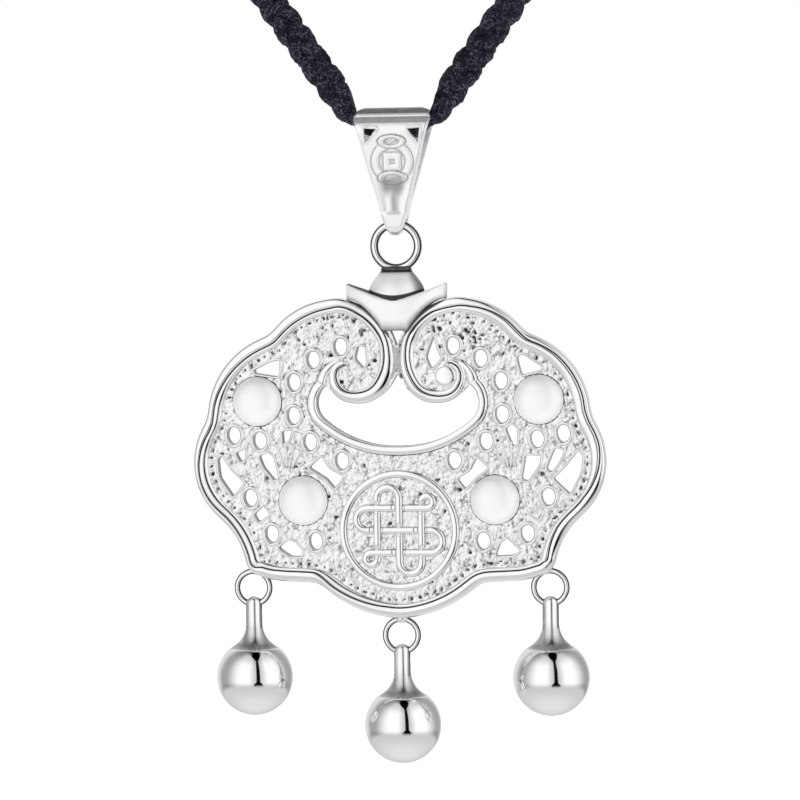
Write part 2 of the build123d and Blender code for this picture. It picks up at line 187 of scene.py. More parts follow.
def arc(start, middle, end, step=LINE_STEP):
    """Points from start to end on the arc through middle, without start."""
    (ax, ay), (bx, by), (cx, cy) = start, middle, end
    d = 2 * (ax * (by - cy) + bx * (cy - ay) + cx * (ay - by))
    a2, b2, c2 = ax * ax + ay * ay, bx * bx + by * by, cx * cx + cy * cy
    ux = (a2 * (by - cy) + b2 * (cy - ay) + c2 * (ay - by)) / d
    uy = (a2 * (cx - bx) + b2 * (ax - cx) + c2 * (bx - ax)) / d
    radius = math.hypot(ax - ux, ay - uy)
    first = math.atan2(ay - uy, ax - ux)
    half = math.atan2(by - uy, bx - ux)
    last = math.atan2(cy - uy, cx - ux)
    turn = (last - first) % math.tau
    if (half - first) % math.tau > turn:
        turn -= math.tau
    count = max(2, round(abs(turn) * radius / step))
    return [(ux + radius * math.cos(first + turn * k / count),
             uy + radius * math.sin(first + turn * k / count)) for k in range(1, count + 1)]


def chain(start, table):
    """A run of arcs and straight stretches from a table of (middle, end)."""
    points = [start]
    for middle, end in table:
        here = points[-1]
        if middle is None:
            count = max(2, round(math.dist(here, end) / LINE_STEP))
            points += [(here[0] + (end[0] - here[0]) * k / count,
                        here[1] + (end[1] - here[1]) * k / count) for k in range(1, count + 1)]
        else:
            points += arc(here, middle, end)
    return points


def both_halves(right):
    """A closed line from its right half, which runs from the top middle to the bottom middle."""
    return right + [(-across, up) for across, up in reversed(right[1:-1])]


def flipped(points):
    """The mirror image of a line."""
    return [(-across, up) for across, up in points]


def spaced(points, step, closed):
    """The same line with evenly spaced points."""
    run = points + points[:1] if closed else points
    lengths = [0.0]
    for here, after in zip(run, run[1:]):
        lengths.append(lengths[-1] + math.dist(here, after))
    count = max(3, round(lengths[-1] / step))
    found = []
    k = 0
    for n in range(count if closed else count + 1):
        goal = lengths[-1] * n / count
        while k < len(run) - 2 and lengths[k + 1] < goal:
            k += 1
        share = (goal - lengths[k]) / max(lengths[k + 1] - lengths[k], 1e-9)
        found.append((run[k][0] + (run[k + 1][0] - run[k][0]) * share,
                      run[k][1] + (run[k + 1][1] - run[k][1]) * share))
    return found


def eased(points, reach):
    """A closed line with its corners rounded, by averaging over a few neighbours."""
    count = len(points)
    window = range(-reach, reach + 1)
    return [(sum(points[(n + w) % count][0] for w in window) / len(window),
             sum(points[(n + w) % count][1] for w in window) / len(window)) for n in range(count)]


def outward(points, n, closed):
    """The direction to the left of the line at one of its points: outwards on a clockwise line."""
    count = len(points)
    before = points[n - 1] if closed or n > 0 else points[n]
    after = points[(n + 1) % count] if closed or n < count - 1 else points[n]
    along = (after[0] - before[0], after[1] - before[1])
    size = max(math.hypot(*along), 1e-9)
    return (-along[1] / size, along[0] / size)


def moved_out(points, distance, closed=True):
    """The line moved sideways, outwards on a closed clockwise line."""
    moved = []
    for n, (across, up) in enumerate(points):
        out = outward(points, n, closed)
        moved.append((across + out[0] * distance, up + out[1] * distance))
    return moved


def clockwise(points):
    """The closed line, turned round if it runs the other way."""
    area = sum(a[0] * b[1] - b[0] * a[1] for a, b in zip(points, points[1:] + points[:1]))
    return points if area < 0 else points[::-1]


def rounded_corners(corners):
    """A small many-cornered hole with its corners rounded off."""
    return eased(spaced(clockwise(corners), HOLE_CORNER, True), 2)


def oval(centre, half, count=28):
    """A clockwise ellipse."""
    return [(centre[0] + half[0] * math.sin(math.tau * k / count),
             centre[1] + half[1] * math.cos(math.tau * k / count)) for k in range(count)]


def rise(value, low, high):
    """0 below low, 1 above high and smooth between them."""
    share = min(max((value - low) / (high - low), 0.0), 1.0)
    return share * share * (3 - 2 * share)


# Shapes built up from rows of corners

class Draft:
    """Corners and faces of one piece, with how dark each corner is painted, 0 to 1: tarnish in hollows
    and painted shade.
    """

    def __init__(self):
        self.corners = []
        self.faces = []
        self.dark = []

    def row(self, corners):
        """Adds corners, each with how dark it is painted, and gives back their numbers."""
        first = len(self.corners)
        for corner, dark in corners:
            self.corners.append(corner)
            self.dark.append(dark)
        return list(range(first, len(self.corners)))

    def skin(self, rows, along=False, round_=True, capped=False):
        """Joins rows of corners: along closes the last row to the first, round_ each row to itself."""
        indexed = [self.row(r) for r in rows]
        pairs = list(zip(indexed, indexed[1:])) + ([(indexed[-1], indexed[0])] if along else [])
        size = len(indexed[0])
        for one, two in pairs:
            for k in range(size if round_ else size - 1):
                m = (k + 1) % size
                self.faces.append((one[k], one[m], two[m], two[k]))
        if capped:
            self.faces.append(tuple(indexed[0]))
            self.faces.append(tuple(reversed(indexed[-1])))

    def mesh(self, name):
        """The draft as a mesh, with its faces turned outwards."""
        mesh = bpy.data.meshes.new(name)
        mesh.from_pydata(self.corners, [], self.faces)
        work = bmesh.new()
        work.from_mesh(mesh)
        bmesh.ops.recalc_face_normals(work, faces=work.faces)
        work.to_mesh(mesh)
        work.free()
        return mesh

    def piece(self, name, finish, body, slot, solid=None, sharp=None):
        """The draft as a finished piece of the object, darker where its corners carry tarnish and painted
        shade.
        """
        mesh = self.mesh(name)
        mesh.attributes.new("shade_and_tarnish", "FLOAT", "POINT").data.foreach_set("value", self.dark)
        return finished(name, mesh, finish, body, solid, sharp)


def placed(name, data):
    """An object in the scene that holds a mesh or a camera."""
    made = bpy.data.objects.new(name, data)
    bpy.context.scene.collection.objects.link(made)
    return made


def finished(name, mesh, finish, body, solid=None, sharp=None):
    """A piece that rides on a body, has a finish, and may stand for a solid of the part."""
    mesh.polygons.foreach_set("use_smooth", [True] * len(mesh.polygons))
    if sharp:
        mesh.set_sharp_from_angle(angle=math.radians(sharp))
    mesh.materials.append(finish)
    piece = placed(name, mesh)
    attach(piece, body)
    if solid:
        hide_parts(solid)
    return piece


def lay(draft, line, section, closed=True):
    """Lays a section along a line on the face. The section gives outward, forward and darkness, which is
    tarnish and painted shade.
    """
    rows = []
    last = max(len(line) - 1, 1)
    for n, (across, up) in enumerate(line):
        out = outward(line, n, closed)
        rows.append([(on_lock(across + out[0] * o, up + out[1] * o, f), d)
                     for o, f, d in section(n / last, out)])
    draft.skin(rows, along=closed, capped=not closed)


def half_round(width, base, top, edge=0.5, sides=8):
    """A half-round bead that stands on the plate, painted darkest where it meets it, as shade and
    tarnish.
    """
    found = []
    for k in range(sides + 1):
        angle = math.pi * k / sides
        found.append((width / 2 * math.cos(angle), base + (top - base) * math.sin(angle),
                      edge if k in (0, sides) else 0.0))
    return found


def lay_bead(draft, line, width, top, edge, sides=8, closed=True):
    """Lays a half-round bead on the plate, along a line."""
    lay(draft, line, lambda share, out: half_round(width, PLATE_HALF - 0.05, top, edge, sides), closed)


def turned(draft, centre, profile, sides=48, upright=False):
    """Turns a profile of radius, height and darkness (tarnish and painted shade) about the way forward,
    or about the way up.
    """
    rows = []
    for radius, height, dark in profile:
        row = []
        for k in range(sides):
            a = radius * math.cos(math.tau * k / sides)
            b = radius * math.sin(math.tau * k / sides)
            if upright:
                row.append((on_lock(centre[0] + a, centre[1] + height, b), dark))
            else:
                row.append((on_lock(centre[0] + a, centre[1] + b, height), dark))
        rows.append(row)
    draft.skin(rows, capped=True)


def wire_ring(draft, centre, radius, wire, around=72, sides=24):
    """A ring of round wire in the plane of the plate, with painted shade along both its sides."""
    rows = []
    for k in range(around):
        turn = math.tau * k / around
        row = []
        for m in range(sides):
            angle = math.tau * m / sides
            reach = radius + wire * math.cos(angle)
            row.append((on_lock(centre[0] + reach * math.sin(turn),
                                centre[1] + reach * math.cos(turn), wire * math.sin(angle)),
                        math.exp(-((abs(math.cos(angle)) - WIRE_SHOULDER) / WIRE_SHADE_WIDTH) ** 2)))
        rows.append(row)
    draft.skin(rows, along=True)


def tube(draft, centres, sizes, sides=10):
    """A round tube along points in metres, with its radius at each of them."""
    rows = []
    side = None
    for n, (here, size) in enumerate(zip(centres, sizes)):
        before = centres[max(n - 1, 0)]
        after = centres[min(n + 1, len(centres) - 1)]
        along = (after - before).normalized()
        if side is None:
            side = along.orthogonal().normalized()
        side = (side - along * side.dot(along)).normalized()
        other = along.cross(side)
        rows.append([(here + (side * math.cos(math.tau * k / sides)
                              + other * math.sin(math.tau * k / sides)) * size, 0.0)
                     for k in range(sides)])
    draft.skin(rows, capped=True)


# Finishes

def plain_material(name):
    """A material with its node tree, and its Principled shader."""
    material = bpy.data.materials.new(name)
    material.use_nodes = True
    tree = material.node_tree
    return material, tree, tree.nodes["Principled BSDF"]


def join(tree, made, inputs):
    """Sets each input of a node to a value, or joins it to another node's output."""
    for name, value in inputs.items():
        if isinstance(value, bpy.types.NodeSocket):
            tree.links.new(value, made.inputs[name])
        else:
            made.inputs[name].default_value = value


def node(tree, kind, inputs=None, **settings):
    """A node with its settings and its inputs."""
    made = tree.nodes.new(kind)
    for key, value in settings.items():
        setattr(made, key, value)
    join(tree, made, inputs or {})
    return made


def worked(tree, kind, one, two=None, three=None):
    """The outcome of a sum on values or sockets."""
    given = {place: value for place, value in enumerate((one, two, three)) if value is not None}
    return node(tree, "ShaderNodeMath", given, operation=kind).outputs[0]


def eased_step(tree, value, low, high, start=0.0, end=1.0):
    """Goes smoothly from start to end while the value goes from low to high."""
    return node(tree, "ShaderNodeMapRange", {
        "Value": value, "From Min": low, "From Max": high, "To Min": start, "To Max": end,
    }, interpolation_type="SMOOTHSTEP").outputs["Result"]


def blended(tree, share, one, two, kind="RGBA"):
    """A blend of two colours, or of two values, by a share."""
    mix = node(tree, "ShaderNodeMix", {"Factor": share, "A": one, "B": two}, data_type=kind)
    return mix.outputs["Result"]


def cloudy(tree, place, scale, detail=2.0):
    """A soft cloudy pattern in the object's own space."""
    return node(tree, "ShaderNodeTexNoise", {
        "Vector": place, "Scale": scale, "Detail": detail}).outputs["Fac"]


def cells_of(tree, place, scale):
    """How far each place is from the middle of its cell, in a pattern of grains."""
    return node(tree, "ShaderNodeTexVoronoi", {"Vector": place, "Scale": scale}).outputs["Distance"]


def own_space(tree):
    """Places in the object's own space."""
    return node(tree, "ShaderNodeTexCoord").outputs["Object"]


def bumped(tree, shader, height, strength, distance, invert=False):
    """Gives the shader a fine relief."""
    relief = node(tree, "ShaderNodeBump", {"Height": height, "Strength": strength, "Distance": distance},
                  invert=invert)
    join(tree, shader, {"Normal": relief.outputs["Normal"]})


def socket(group, name, way, kind="NodeSocketFloat", start=None):
    """A named way into or out of a node group."""
    made = group.interface.new_socket(name=name, in_out=way, socket_type=kind)
    if start is not None:
        made.default_value = start


def tarnish_and_painted_shade_group():
    """Silver painted dark by each corner's darkness: tarnish where polishing never reaches, in creases,
    pits and round the grains, and painted shade and dark reflections laid on by the pieces.
    """
    group = bpy.data.node_groups.new("tarnish_and_painted_shade", "ShaderNodeTree")
    socket(group, "Silver", "INPUT", "NodeSocketColor", (0.9, 0.9, 0.9, 1))
    socket(group, "Tarnish and Shade", "INPUT", "NodeSocketColor", (0.05, 0.05, 0.05, 1))
    socket(group, "Bright Roughness", "INPUT", start=0.1)
    socket(group, "Dark Roughness", "INPUT", start=0.6)
    socket(group, "Unevenness", "INPUT", start=0.3)
    socket(group, "Colour", "OUTPUT", "NodeSocketColor")
    socket(group, "Roughness", "OUTPUT")
    given = node(group, "NodeGroupInput").outputs
    shade_and_tarnish = node(group, "ShaderNodeAttribute", attribute_name="shade_and_tarnish").outputs["Fac"]
    centred = worked(group, "SUBTRACT", cloudy(group, own_space(group), 1400, 4), 0.5)
    uneven = worked(group, "MULTIPLY", centred, given["Unevenness"])
    # How far the silver goes to the dark colour: tarnish and painted shade, made uneven
    depth = eased_step(group, worked(group, "MULTIPLY_ADD", shade_and_tarnish, uneven, shade_and_tarnish), 0.15, 0.85)
    node(group, "NodeGroupOutput", {
        "Colour": blended(group, depth, given["Silver"], given["Tarnish and Shade"]),
        "Roughness": blended(group, depth, given["Bright Roughness"], given["Dark Roughness"], "FLOAT"),
    })
    return group


def handling_marks_group():
    """Fine hairlines and a slightly wavy surface, from polishing and wear."""
    group = bpy.data.node_groups.new("handling_marks", "ShaderNodeTree")
    socket(group, "Hairlines", "INPUT", start=0.3)
    socket(group, "Waves", "INPUT", start=0.5)
    socket(group, "Height", "OUTPUT")
    given = node(group, "NodeGroupInput").outputs
    place = own_space(group)
    drawn_out = node(group, "ShaderNodeMapping", {
        "Vector": place, "Rotation": (0, 0.6, 0), "Scale": (1, 1, 7)}).outputs[0]
    fine = worked(group, "MULTIPLY", cloudy(group, drawn_out, 2500, 3), given["Hairlines"])
    height = worked(group, "MULTIPLY_ADD", cloudy(group, place, 350, 1), given["Waves"], fine)
    node(group, "NodeGroupOutput", {"Height": height})
    return group


tarnish_and_painted_shade = tarnish_and_painted_shade_group()
handling_marks = handling_marks_group()


def silver(name, colour, bright, dark, unevenness, hairlines, waves, bump, metallic=1.0):
    """Silver in one of its finishes: polished, softly polished or satin."""
    material, tree, shader = plain_material(name)
    # Each corner's darkness takes the silver towards a near-black: tarnish in hollows and painted shade
    darkening = node(tree, "ShaderNodeGroup", node_tree=tarnish_and_painted_shade)
    join(tree, darkening, {
        "Silver": (*colour, 1), "Tarnish and Shade": (0.035, 0.034, 0.036, 1), "Bright Roughness": bright,
        "Dark Roughness": dark, "Unevenness": unevenness})
    marks = node(tree, "ShaderNodeGroup", node_tree=handling_marks)
    join(tree, marks, {"Hairlines": hairlines, "Waves": waves})
    join(tree, shader, {
        "Metallic": metallic, "Base Color": darkening.outputs["Colour"],
        "Roughness": darkening.outputs["Roughness"]})
    bumped(tree, shader, marks.outputs["Height"], bump, 0.00005)
    return material


def punched_ground():
    """The ground between the ornaments: grainy, with grey hollows and a few black pits."""
    material, tree, shader = plain_material("punched_ground")
    place = own_space(tree)
    grains = cells_of(tree, place, 3400)
    hollow = eased_step(tree, grains, 0.35, 0.75)
    patchy = eased_step(tree, cloudy(tree, place, 1100, 3), 0.42, 0.66)
    # Each corner's darkness takes the ground towards a near-black: in the pits, round the grains and as
    # painted shade in the throat
    darkening = node(tree, "ShaderNodeGroup", node_tree=tarnish_and_painted_shade)
    join(tree, darkening, {
        "Silver": (0.98, 0.98, 0.98, 1), "Tarnish and Shade": (0.05, 0.05, 0.05, 1), "Bright Roughness": 0.3,
        "Dark Roughness": 0.7, "Unevenness": 0.4})
    join(tree, shader, {
        "Metallic": 1.0,
        "Base Color": blended(tree, worked(tree, "MULTIPLY", hollow, patchy), darkening.outputs["Colour"],
                              (0.35, 0.35, 0.35, 1)),
        "Roughness": darkening.outputs["Roughness"]})
    bumped(tree, shader, grains, 0.35, 0.00008, invert=True)
    return material


def black_thread():
    """Waxed black thread with a violet tint, and pale specks painted where the twist catches light:
    painted glints.
    """
    material, tree, shader = plain_material("black_thread")
    place = own_space(tree)
    twist = cells_of(tree, place, 4200)
    # from above to below, so that the middle of each cell is the bright part
    bright = eased_step(tree, twist, 0.62, 0.2)
    chosen = eased_step(tree, cloudy(tree, place, 1300, 2), 0.36, 0.58)
    dye = blended(tree, cloudy(tree, place, 260), (0.004, 0.003, 0.006, 1), (0.014, 0.008, 0.02, 1))
    speck = worked(tree, "MULTIPLY", bright, chosen)
    join(tree, shader, {
        "Roughness": 0.7, "Specular IOR Level": 0.2,
        "Base Color": blended(tree, speck, dye, (0.1, 0.1, 0.155, 1))})
    bumped(tree, shader, twist, 0.8, 0.00012)
    return material


polished = silver("polished_silver", (0.93, 0.93, 0.945), bright=0.07, dark=0.5, unevenness=0.35,
                  hairlines=0.3, waves=0.35, bump=0.06)
satin = silver("satin_silver", (1.0, 1.0, 1.0), bright=0.4, dark=0.6, unevenness=0.2,
               hairlines=0.4, waves=0.3, bump=0.1, metallic=0.25)
soft_polish = silver("softly_polished_silver", (0.97, 0.97, 0.975), bright=0.27, dark=0.55,
                     unevenness=0.25, hairlines=0.35, waves=0.3, bump=0.08, metallic=0.7)
ground = punched_ground()
thread = black_thread()


# Cord

STRANDS = 3
STRAND_RADIUS = 0.8
STRAND_SWING = 0.86
STRAND_DEPTH = 0.6
STRAND_SIDES = 12
STRAND_STEP = 0.26
BUMP_PITCH = 2.5
# How much the strands' thickness varies, and how rough their thread is
LUMPS = 0.12
LUMP_SCALE = 0.7
THREAD_ROUGHNESS = 0.11
TWIST_SCALE = 1.9
FIBRE_SCALE = 4.3
FIBRE_SHARE = 0.7
# Inside the bail: how close the strands lie, where that begins and ends, and the room that they have
BAIL_SQUEEZE = 0.72
BAIL_EDGES = (3.0, 4.6)
BAIL_REACH = 6.0
BAIL_ROOM = 1.8
BAIL_MOUTH = 3.9
SWELLING = 4.0

WINDINGS = 7
WINDING_POINTS = 24
KNOT_CORE_RADIUS = 1.5
KNOT_CORE = (-6.2, -3.0, 0.0, 3.0, 6.2)


def cord_points():
    """The cord's own line: a smooth spline through the loop's corners, read back as points."""
    corners = flipped(CORD_CORNERS)[::-1] + CORD_CORNERS
    data = bpy.data.curves.new("cord_line", "CURVE")
    data.dimensions = "3D"
    data.resolution_u = 24
    line = data.splines.new("NURBS")
    line.points.add(len(corners) - 1)
    for point, (across, up) in zip(line.points, corners):
        point.co = (*on_lock(across, CORD_UP + up), 1)
    line.order_u = 3
    line.use_endpoint_u = True
    holder = bpy.data.objects.new("cord_line", data)
    mesh = bpy.data.meshes.new_from_object(holder)
    points = [vertex.co.copy() for vertex in mesh.vertices]
    bpy.data.objects.remove(holder)
    bpy.data.meshes.remove(mesh)
    bpy.data.curves.remove(data)
    return points


def evenly(points, step):
    """Points in metres, evenly spaced along a line."""
    lengths = [0.0]
    for here, after in zip(points, points[1:]):
        lengths.append(lengths[-1] + (after - here).length)
    count = round(lengths[-1] / step)
    found = []
    k = 0
    for n in range(count + 1):
        goal = lengths[-1] * n / count
        while k < len(points) - 2 and lengths[k + 1] < goal:
            k += 1
        share = (goal - lengths[k]) / max(lengths[k + 1] - lengths[k], 1e-12)
        found.append(points[k].lerp(points[k + 1], share))
    return found, lengths[-1]


def strand_swing(across):
    """The strands lie closer together where the cord passes through the bail."""
    return BAIL_SQUEEZE + (1 - BAIL_SQUEEZE) * rise(abs(across), *BAIL_EDGES)


def squeezed(corner):
    """The bail's sheet holds the cord in, and the cord swells out again just past its edges."""
    if corner.z > (DATUM + CORD_UP + BAIL_REACH) * MM:
        return corner
    middle = Vector((corner.x, 0.0, (DATUM + CORD_UP) * MM))
    room = (BAIL_ROOM + SWELLING * max(abs(corner.x) / MM - BAIL_MOUTH, 0.0)) * MM
    reach = (corner - middle).length
    return middle + (corner - middle) * (room / reach) if reach > room else corner


def knotted_cord():
    """Three rough strands that cross in turn, so that a bump shows on each edge every bump pitch."""
    line, length = evenly(cord_points(), STRAND_STEP * MM)
    front = Vector((0, -1, 0))
    draft = Draft()
    around = []
    for strand in range(STRANDS):
        centres = []
        sizes = []
        for n, here in enumerate(line):
            before = line[max(n - 1, 0)]
            after = line[min(n + 1, len(line) - 1)]
            side = (after - before).normalized().cross(front).normalized()
            travelled = length * n / (len(line) - 1) / MM
            turn = math.tau * (travelled / (BUMP_PITCH * STRANDS) + strand / STRANDS)
            pull = strand_swing(here.x / MM)
            lump = noise.noise(Vector((travelled * LUMP_SCALE, strand * 9.0, 0.0)))
            centres.append(here + side * STRAND_SWING * pull * math.sin(turn) * MM
                           + front * STRAND_DEPTH * pull * math.sin(2 * turn) * MM)
            sizes.append(STRAND_RADIUS * pull * (1 + LUMPS * lump) * MM)
        tube(draft, centres, sizes, STRAND_SIDES)
        around += centres
    for n, corner in enumerate(draft.corners):
        away = (corner - around[n // STRAND_SIDES]).normalized()
        here = corner / MM
        rough = noise.noise(here * TWIST_SCALE) + FIBRE_SHARE * noise.noise(here * FIBRE_SCALE)
        draft.corners[n] = squeezed(corner + away * rough * THREAD_ROUGHNESS * MM)
    cord = draft.piece("knotted_cord", thread, "necklace", "cord", "neck_cord")


def sliding_knot():
    """The knot at the nape: cord wound tightly round a core."""
    wire = KNOT_LENGTH / (WINDINGS + 1) / 2
    winding = KNOT_DIAMETER / 2 - wire
    middle = KNOT_DIAMETER / 2
    centres = []
    for n in range(WINDINGS * WINDING_POINTS + 1):
        turn = math.tau * n / WINDING_POINTS
        share = n / (WINDINGS * WINDING_POINTS)
        across = -KNOT_LENGTH / 2 + wire + (KNOT_LENGTH - 2 * wire) * share
        centres.append(Vector((across, winding * math.cos(turn), middle + winding * math.sin(turn))) * MM)
    draft = Draft()
    tube(draft, centres, [wire * MM] * len(centres), sides=12)
    core = [Vector((across, 0, middle)) * MM for across in KNOT_CORE]
    tube(draft, core, [KNOT_CORE_RADIUS * MM] * len(core), sides=16)
    draft.piece("sliding_knot", thread, "necklace", "cord", "cord_closure")


# Lock

OUTLINE_STEP = 0.22
BEAN_STEP = 0.18
GRAIN_PITCH = 0.2
GRAIN_HEIGHT = 0.027
PIT_DEPTH = 0.1
PIT_GRID = 0.5
PIT_DRAWS = 1300
RIM_PIT_PITCH = 0.83
RIM_PIT_RADIUS = 0.15
RIM_PIT_INSET = 0.33
# How far the plate's edge lies inside the outline, where the rim covers it
PLATE_INSET = 1.1
# The smooth ground in the throat between the scrolls, painted dark as shade
THROAT_HALF = 1.3
THROAT_FOOT = 7.3

outline = eased(spaced(both_halves(chain(PLATE_TOP, PLATE_EDGE)), OUTLINE_STEP, True), 3)
bean = eased(spaced(both_halves(chain(BEAN_TOP, BEAN_EDGE)), BEAN_STEP, True), 1)
scroll = chain(SCROLL_START, SCROLL_ARCS)
round_holes = RINGED_HOLES + flipped(RINGED_HOLES)
shaped_outlines = [rounded_corners(corners) for corners in SHAPED_HOLES]
hole_outlines = [bean, spaced(clockwise(THROAT), 0.1, True)]
hole_outlines += [oval(centre, RINGED_HOLE_HALF) for centre in round_holes]
hole_outlines += shaped_outlines


def lock_piece(draft, name, finish, sharp=None):
    """A silver piece that rides on the lock and stands for part of its solid."""
    draft.piece(name, finish, "lock", "silver", "lock_body", sharp)


def crossings(lines, up):
    """Where a level line crosses closed lines, from left to right."""
    found = []
    for line in lines:
        for (ax, ay), (bx, by) in zip(line, line[1:] + line[:1]):
            if (ay > up) != (by > up):
                found.append(ax + (bx - ax) * (up - ay) / (by - ay))
    return sorted(found)


def loose_corners(lines, pitch, margin, chance, scatter=0.3):
    """Corners scattered evenly between closed lines, none of them close to a line."""
    cell = pitch / 2
    taken = set()
    for line in lines:
        for across, up in line:
            column = round(across / cell)
            row = round(up / cell)
            taken.update((column + i, row + j) for i in (-1, 0, 1) for j in (-1, 0, 1))
    ups = [up for _, up in lines[0]]
    found = []
    for j in range(1, int((max(ups) - min(ups)) / pitch)):
        up = min(ups) + pitch * j
        edges = crossings(lines, up)
        for left, right in zip(edges[::2], edges[1::2]):
            room = right - left - 2 * margin
            count = int(room / pitch)
            for i in range(count + 1):
                point = (left + margin + room * (i + 0.5) / (count + 1)
                         + chance.uniform(-scatter, scatter) * pitch,
                         up + chance.uniform(-scatter, scatter) * pitch)
                if (round(point[0] / cell), round(point[1] / cell)) not in taken:
                    found.append(point)
    return found


def filled(lines, loose):
    """A sheet that fills the space between closed lines: its points, its triangles, which of its
    points are loose ones, and the points along each line."""
    corners = []
    edges = []
    for line in lines:
        first = len(corners)
        corners += [Vector(point) for point in line]
        edges += [(first + k, first + (k + 1) % len(line)) for k in range(len(line))]
    rim_count = len(corners)
    corners += [Vector(point) for point in loose]
    points, _, triangles, origins, _, _ = delaunay_2d_cdt(corners, edges, [], 0, 1e-7, True)
    is_loose = [any(k >= rim_count for k in origin) for origin in origins]
    kept = []
    for triangle in triangles:
        if not any(is_loose[k] for k in triangle):
            middle = sum((points[k] for k in triangle), Vector((0.0, 0.0))) / 3
            left_of = [across for across in crossings(lines, middle.y) if across < middle.x]
            if len(left_of) % 2 == 0:
                continue
        kept.append(triangle)
    found_at = {k: n for n, origin in enumerate(origins) for k in origin}
    rims = []
    first = 0
    for line in lines:
        rims.append([found_at[first + k] for k in range(len(line))])
        first += len(line)
    return [(point.x, point.y) for point in points], kept, is_loose, rims


def pits_of_the_ground(chance):
    """Black pits left by the punch, keyed by a coarse grid: thickest in the upper lobes, and one
    regular row inside the rim."""
    pits = []
    for across, up in spaced(moved_out(outline, -RIM_WIDTH - RIM_PIT_INSET), RIM_PIT_PITCH, True):
        pits.append((across, up, RIM_PIT_RADIUS))
    for _ in range(PIT_DRAWS):
        across = chance.uniform(-20, 20)
        up = chance.uniform(-17, 15)
        lobe = max(0.0, 1 - math.dist((abs(across), up), (5.0, 12.2)) / 4.6)
        side = 1.35 if across > 0 else 0.75
        if chance.random() < 0.14 + lobe * side:
            pits.append((across, up, chance.uniform(0.11, 0.2 + 0.09 * min(lobe * side, 1.0))))
    found = {}
    for across, up, size in pits:
        for i in (-1, 0, 1):
            for j in (-1, 0, 1):
                key = (round(across / PIT_GRID) + i, round(up / PIT_GRID) + j)
                if key not in found or (i, j) == (0, 0):
                    found[key] = (across, up, size)
    return found


def ground_face(points, is_loose, pits, chance):
    """The grainy face of the plate: each corner's place and how dark it is painted."""
    face = []
    for (across, up), loose in zip(points, is_loose):
        height = 0.0
        shade_and_tarnish = 0.1
        if loose:
            grain = chance.gauss(0, 1)
            height = GRAIN_HEIGHT * grain
            shade_and_tarnish = min(max(0.05 - 0.13 * grain, 0.0), 0.4)
            # In the throat the ground is smooth and painted dark, as shade
            if abs(across) < THROAT_HALF and up > THROAT_FOOT:
                height = 0.0
                shade_and_tarnish = 0.45
            pit = pits.get((round(across / PIT_GRID), round(up / PIT_GRID)))
            if pit and math.dist(pit[:2], (across, up)) < pit[2]:
                height = -PIT_DEPTH
                shade_and_tarnish = 1.0
        face.append((on_lock(across, up, PLATE_HALF + height), shade_and_tarnish))
    return face


def pierced_plate():
    """The pierced plate: a punched, grainy front, a plain back and the walls of its holes."""
    chance = random.Random(7)
    lines = [moved_out(outline, -PLATE_INSET)] + hole_outlines
    loose = loose_corners(lines, GRAIN_PITCH, 0.1, chance)
    points, triangles, is_loose, _ = filled(lines, loose)
    pits = pits_of_the_ground(chance)
    draft = Draft()
    front = draft.row(ground_face(points, is_loose, pits, chance))
    plain_points, plain, _, _ = filled(lines, [])
    back = draft.row([(on_lock(across, up, -PLATE_HALF), 0.1) for across, up in plain_points])
    draft.faces += [tuple(front[k] for k in triangle) for triangle in triangles]
    draft.faces += [tuple(back[k] for k in reversed(triangle)) for triangle in plain]
    # The walls of the holes are painted darker than the face, darkest midway down: painted shade
    for line in lines:
        draft.skin([[(on_lock(across, up, PLATE_HALF), 0.3), (on_lock(across, up, 0.3), 0.55),
                     (on_lock(across, up, -PLATE_HALF), 0.4)] for across, up in line + line[:1]],
                   round_=False)
    lock_piece(draft, "pierced_plate", ground, sharp=60)


# The rim and the two scrolls that it curls into are one band

SCROLL_LENGTH = 20.0
BAND_STEP = 0.2
# By the distance from the curl's end: where the crease lies, right and left, and how far the band
# reaches to either side of its line
CREASE_RIGHT = [(0.0, 0.0), (3.5, 0.05), (6.5, 0.02), (10.0, 0.2), (14.5, 0.2), (20.0, -0.1)]
CREASE_LEFT = [(0.0, -0.2), (3.0, -0.32), (6.5, -0.34), (10.0, -0.15), (14.5, -0.12), (20.0, -0.1)]
BAND_OUTER = [(0.0, 0.3), (0.8, 0.5), (3.0, 0.6), (5.0, 0.72), (6.5, 0.86), (8.5, 1.0), (10.0, 0.98),
              (12.0, 0.8), (15.0, 0.74), (20.0, 0.775)]
BAND_INNER = [(0.0, 0.3), (0.8, 0.5), (3.0, 0.6), (8.0, 0.62), (15.0, 0.66), (20.0, 0.775)]


def read_off(table, place):
    """A value read off a short table of (place, value) with straight lines between."""
    if place <= table[0][0]:
        return table[0][1]
    for (a, low), (b, high) in zip(table, table[1:]):
        if place <= b:
            return low + (high - low) * (place - a) / (b - a)
    return table[-1][1]


def band_line():
    """The band's middle: right curl, round the rim clockwise, left curl."""
    around = [point for point in moved_out(outline, -RIM_WIDTH / 2)
              if not (point[1] > 12 and abs(point[0]) < SCROLL_START[0] + 0.1)]
    run = spaced(scroll[::-1] + around + flipped(scroll), BAND_STEP, False)
    reach = 3
    smooth = []
    for n in range(len(run)):
        window = run[max(0, n - reach):n + reach + 1]
        if n < reach or n >= len(run) - reach:
            window = [run[n]]
        smooth.append((sum(across for across, _ in window) / len(window),
                       sum(up for _, up in window) / len(window)))
    return smooth


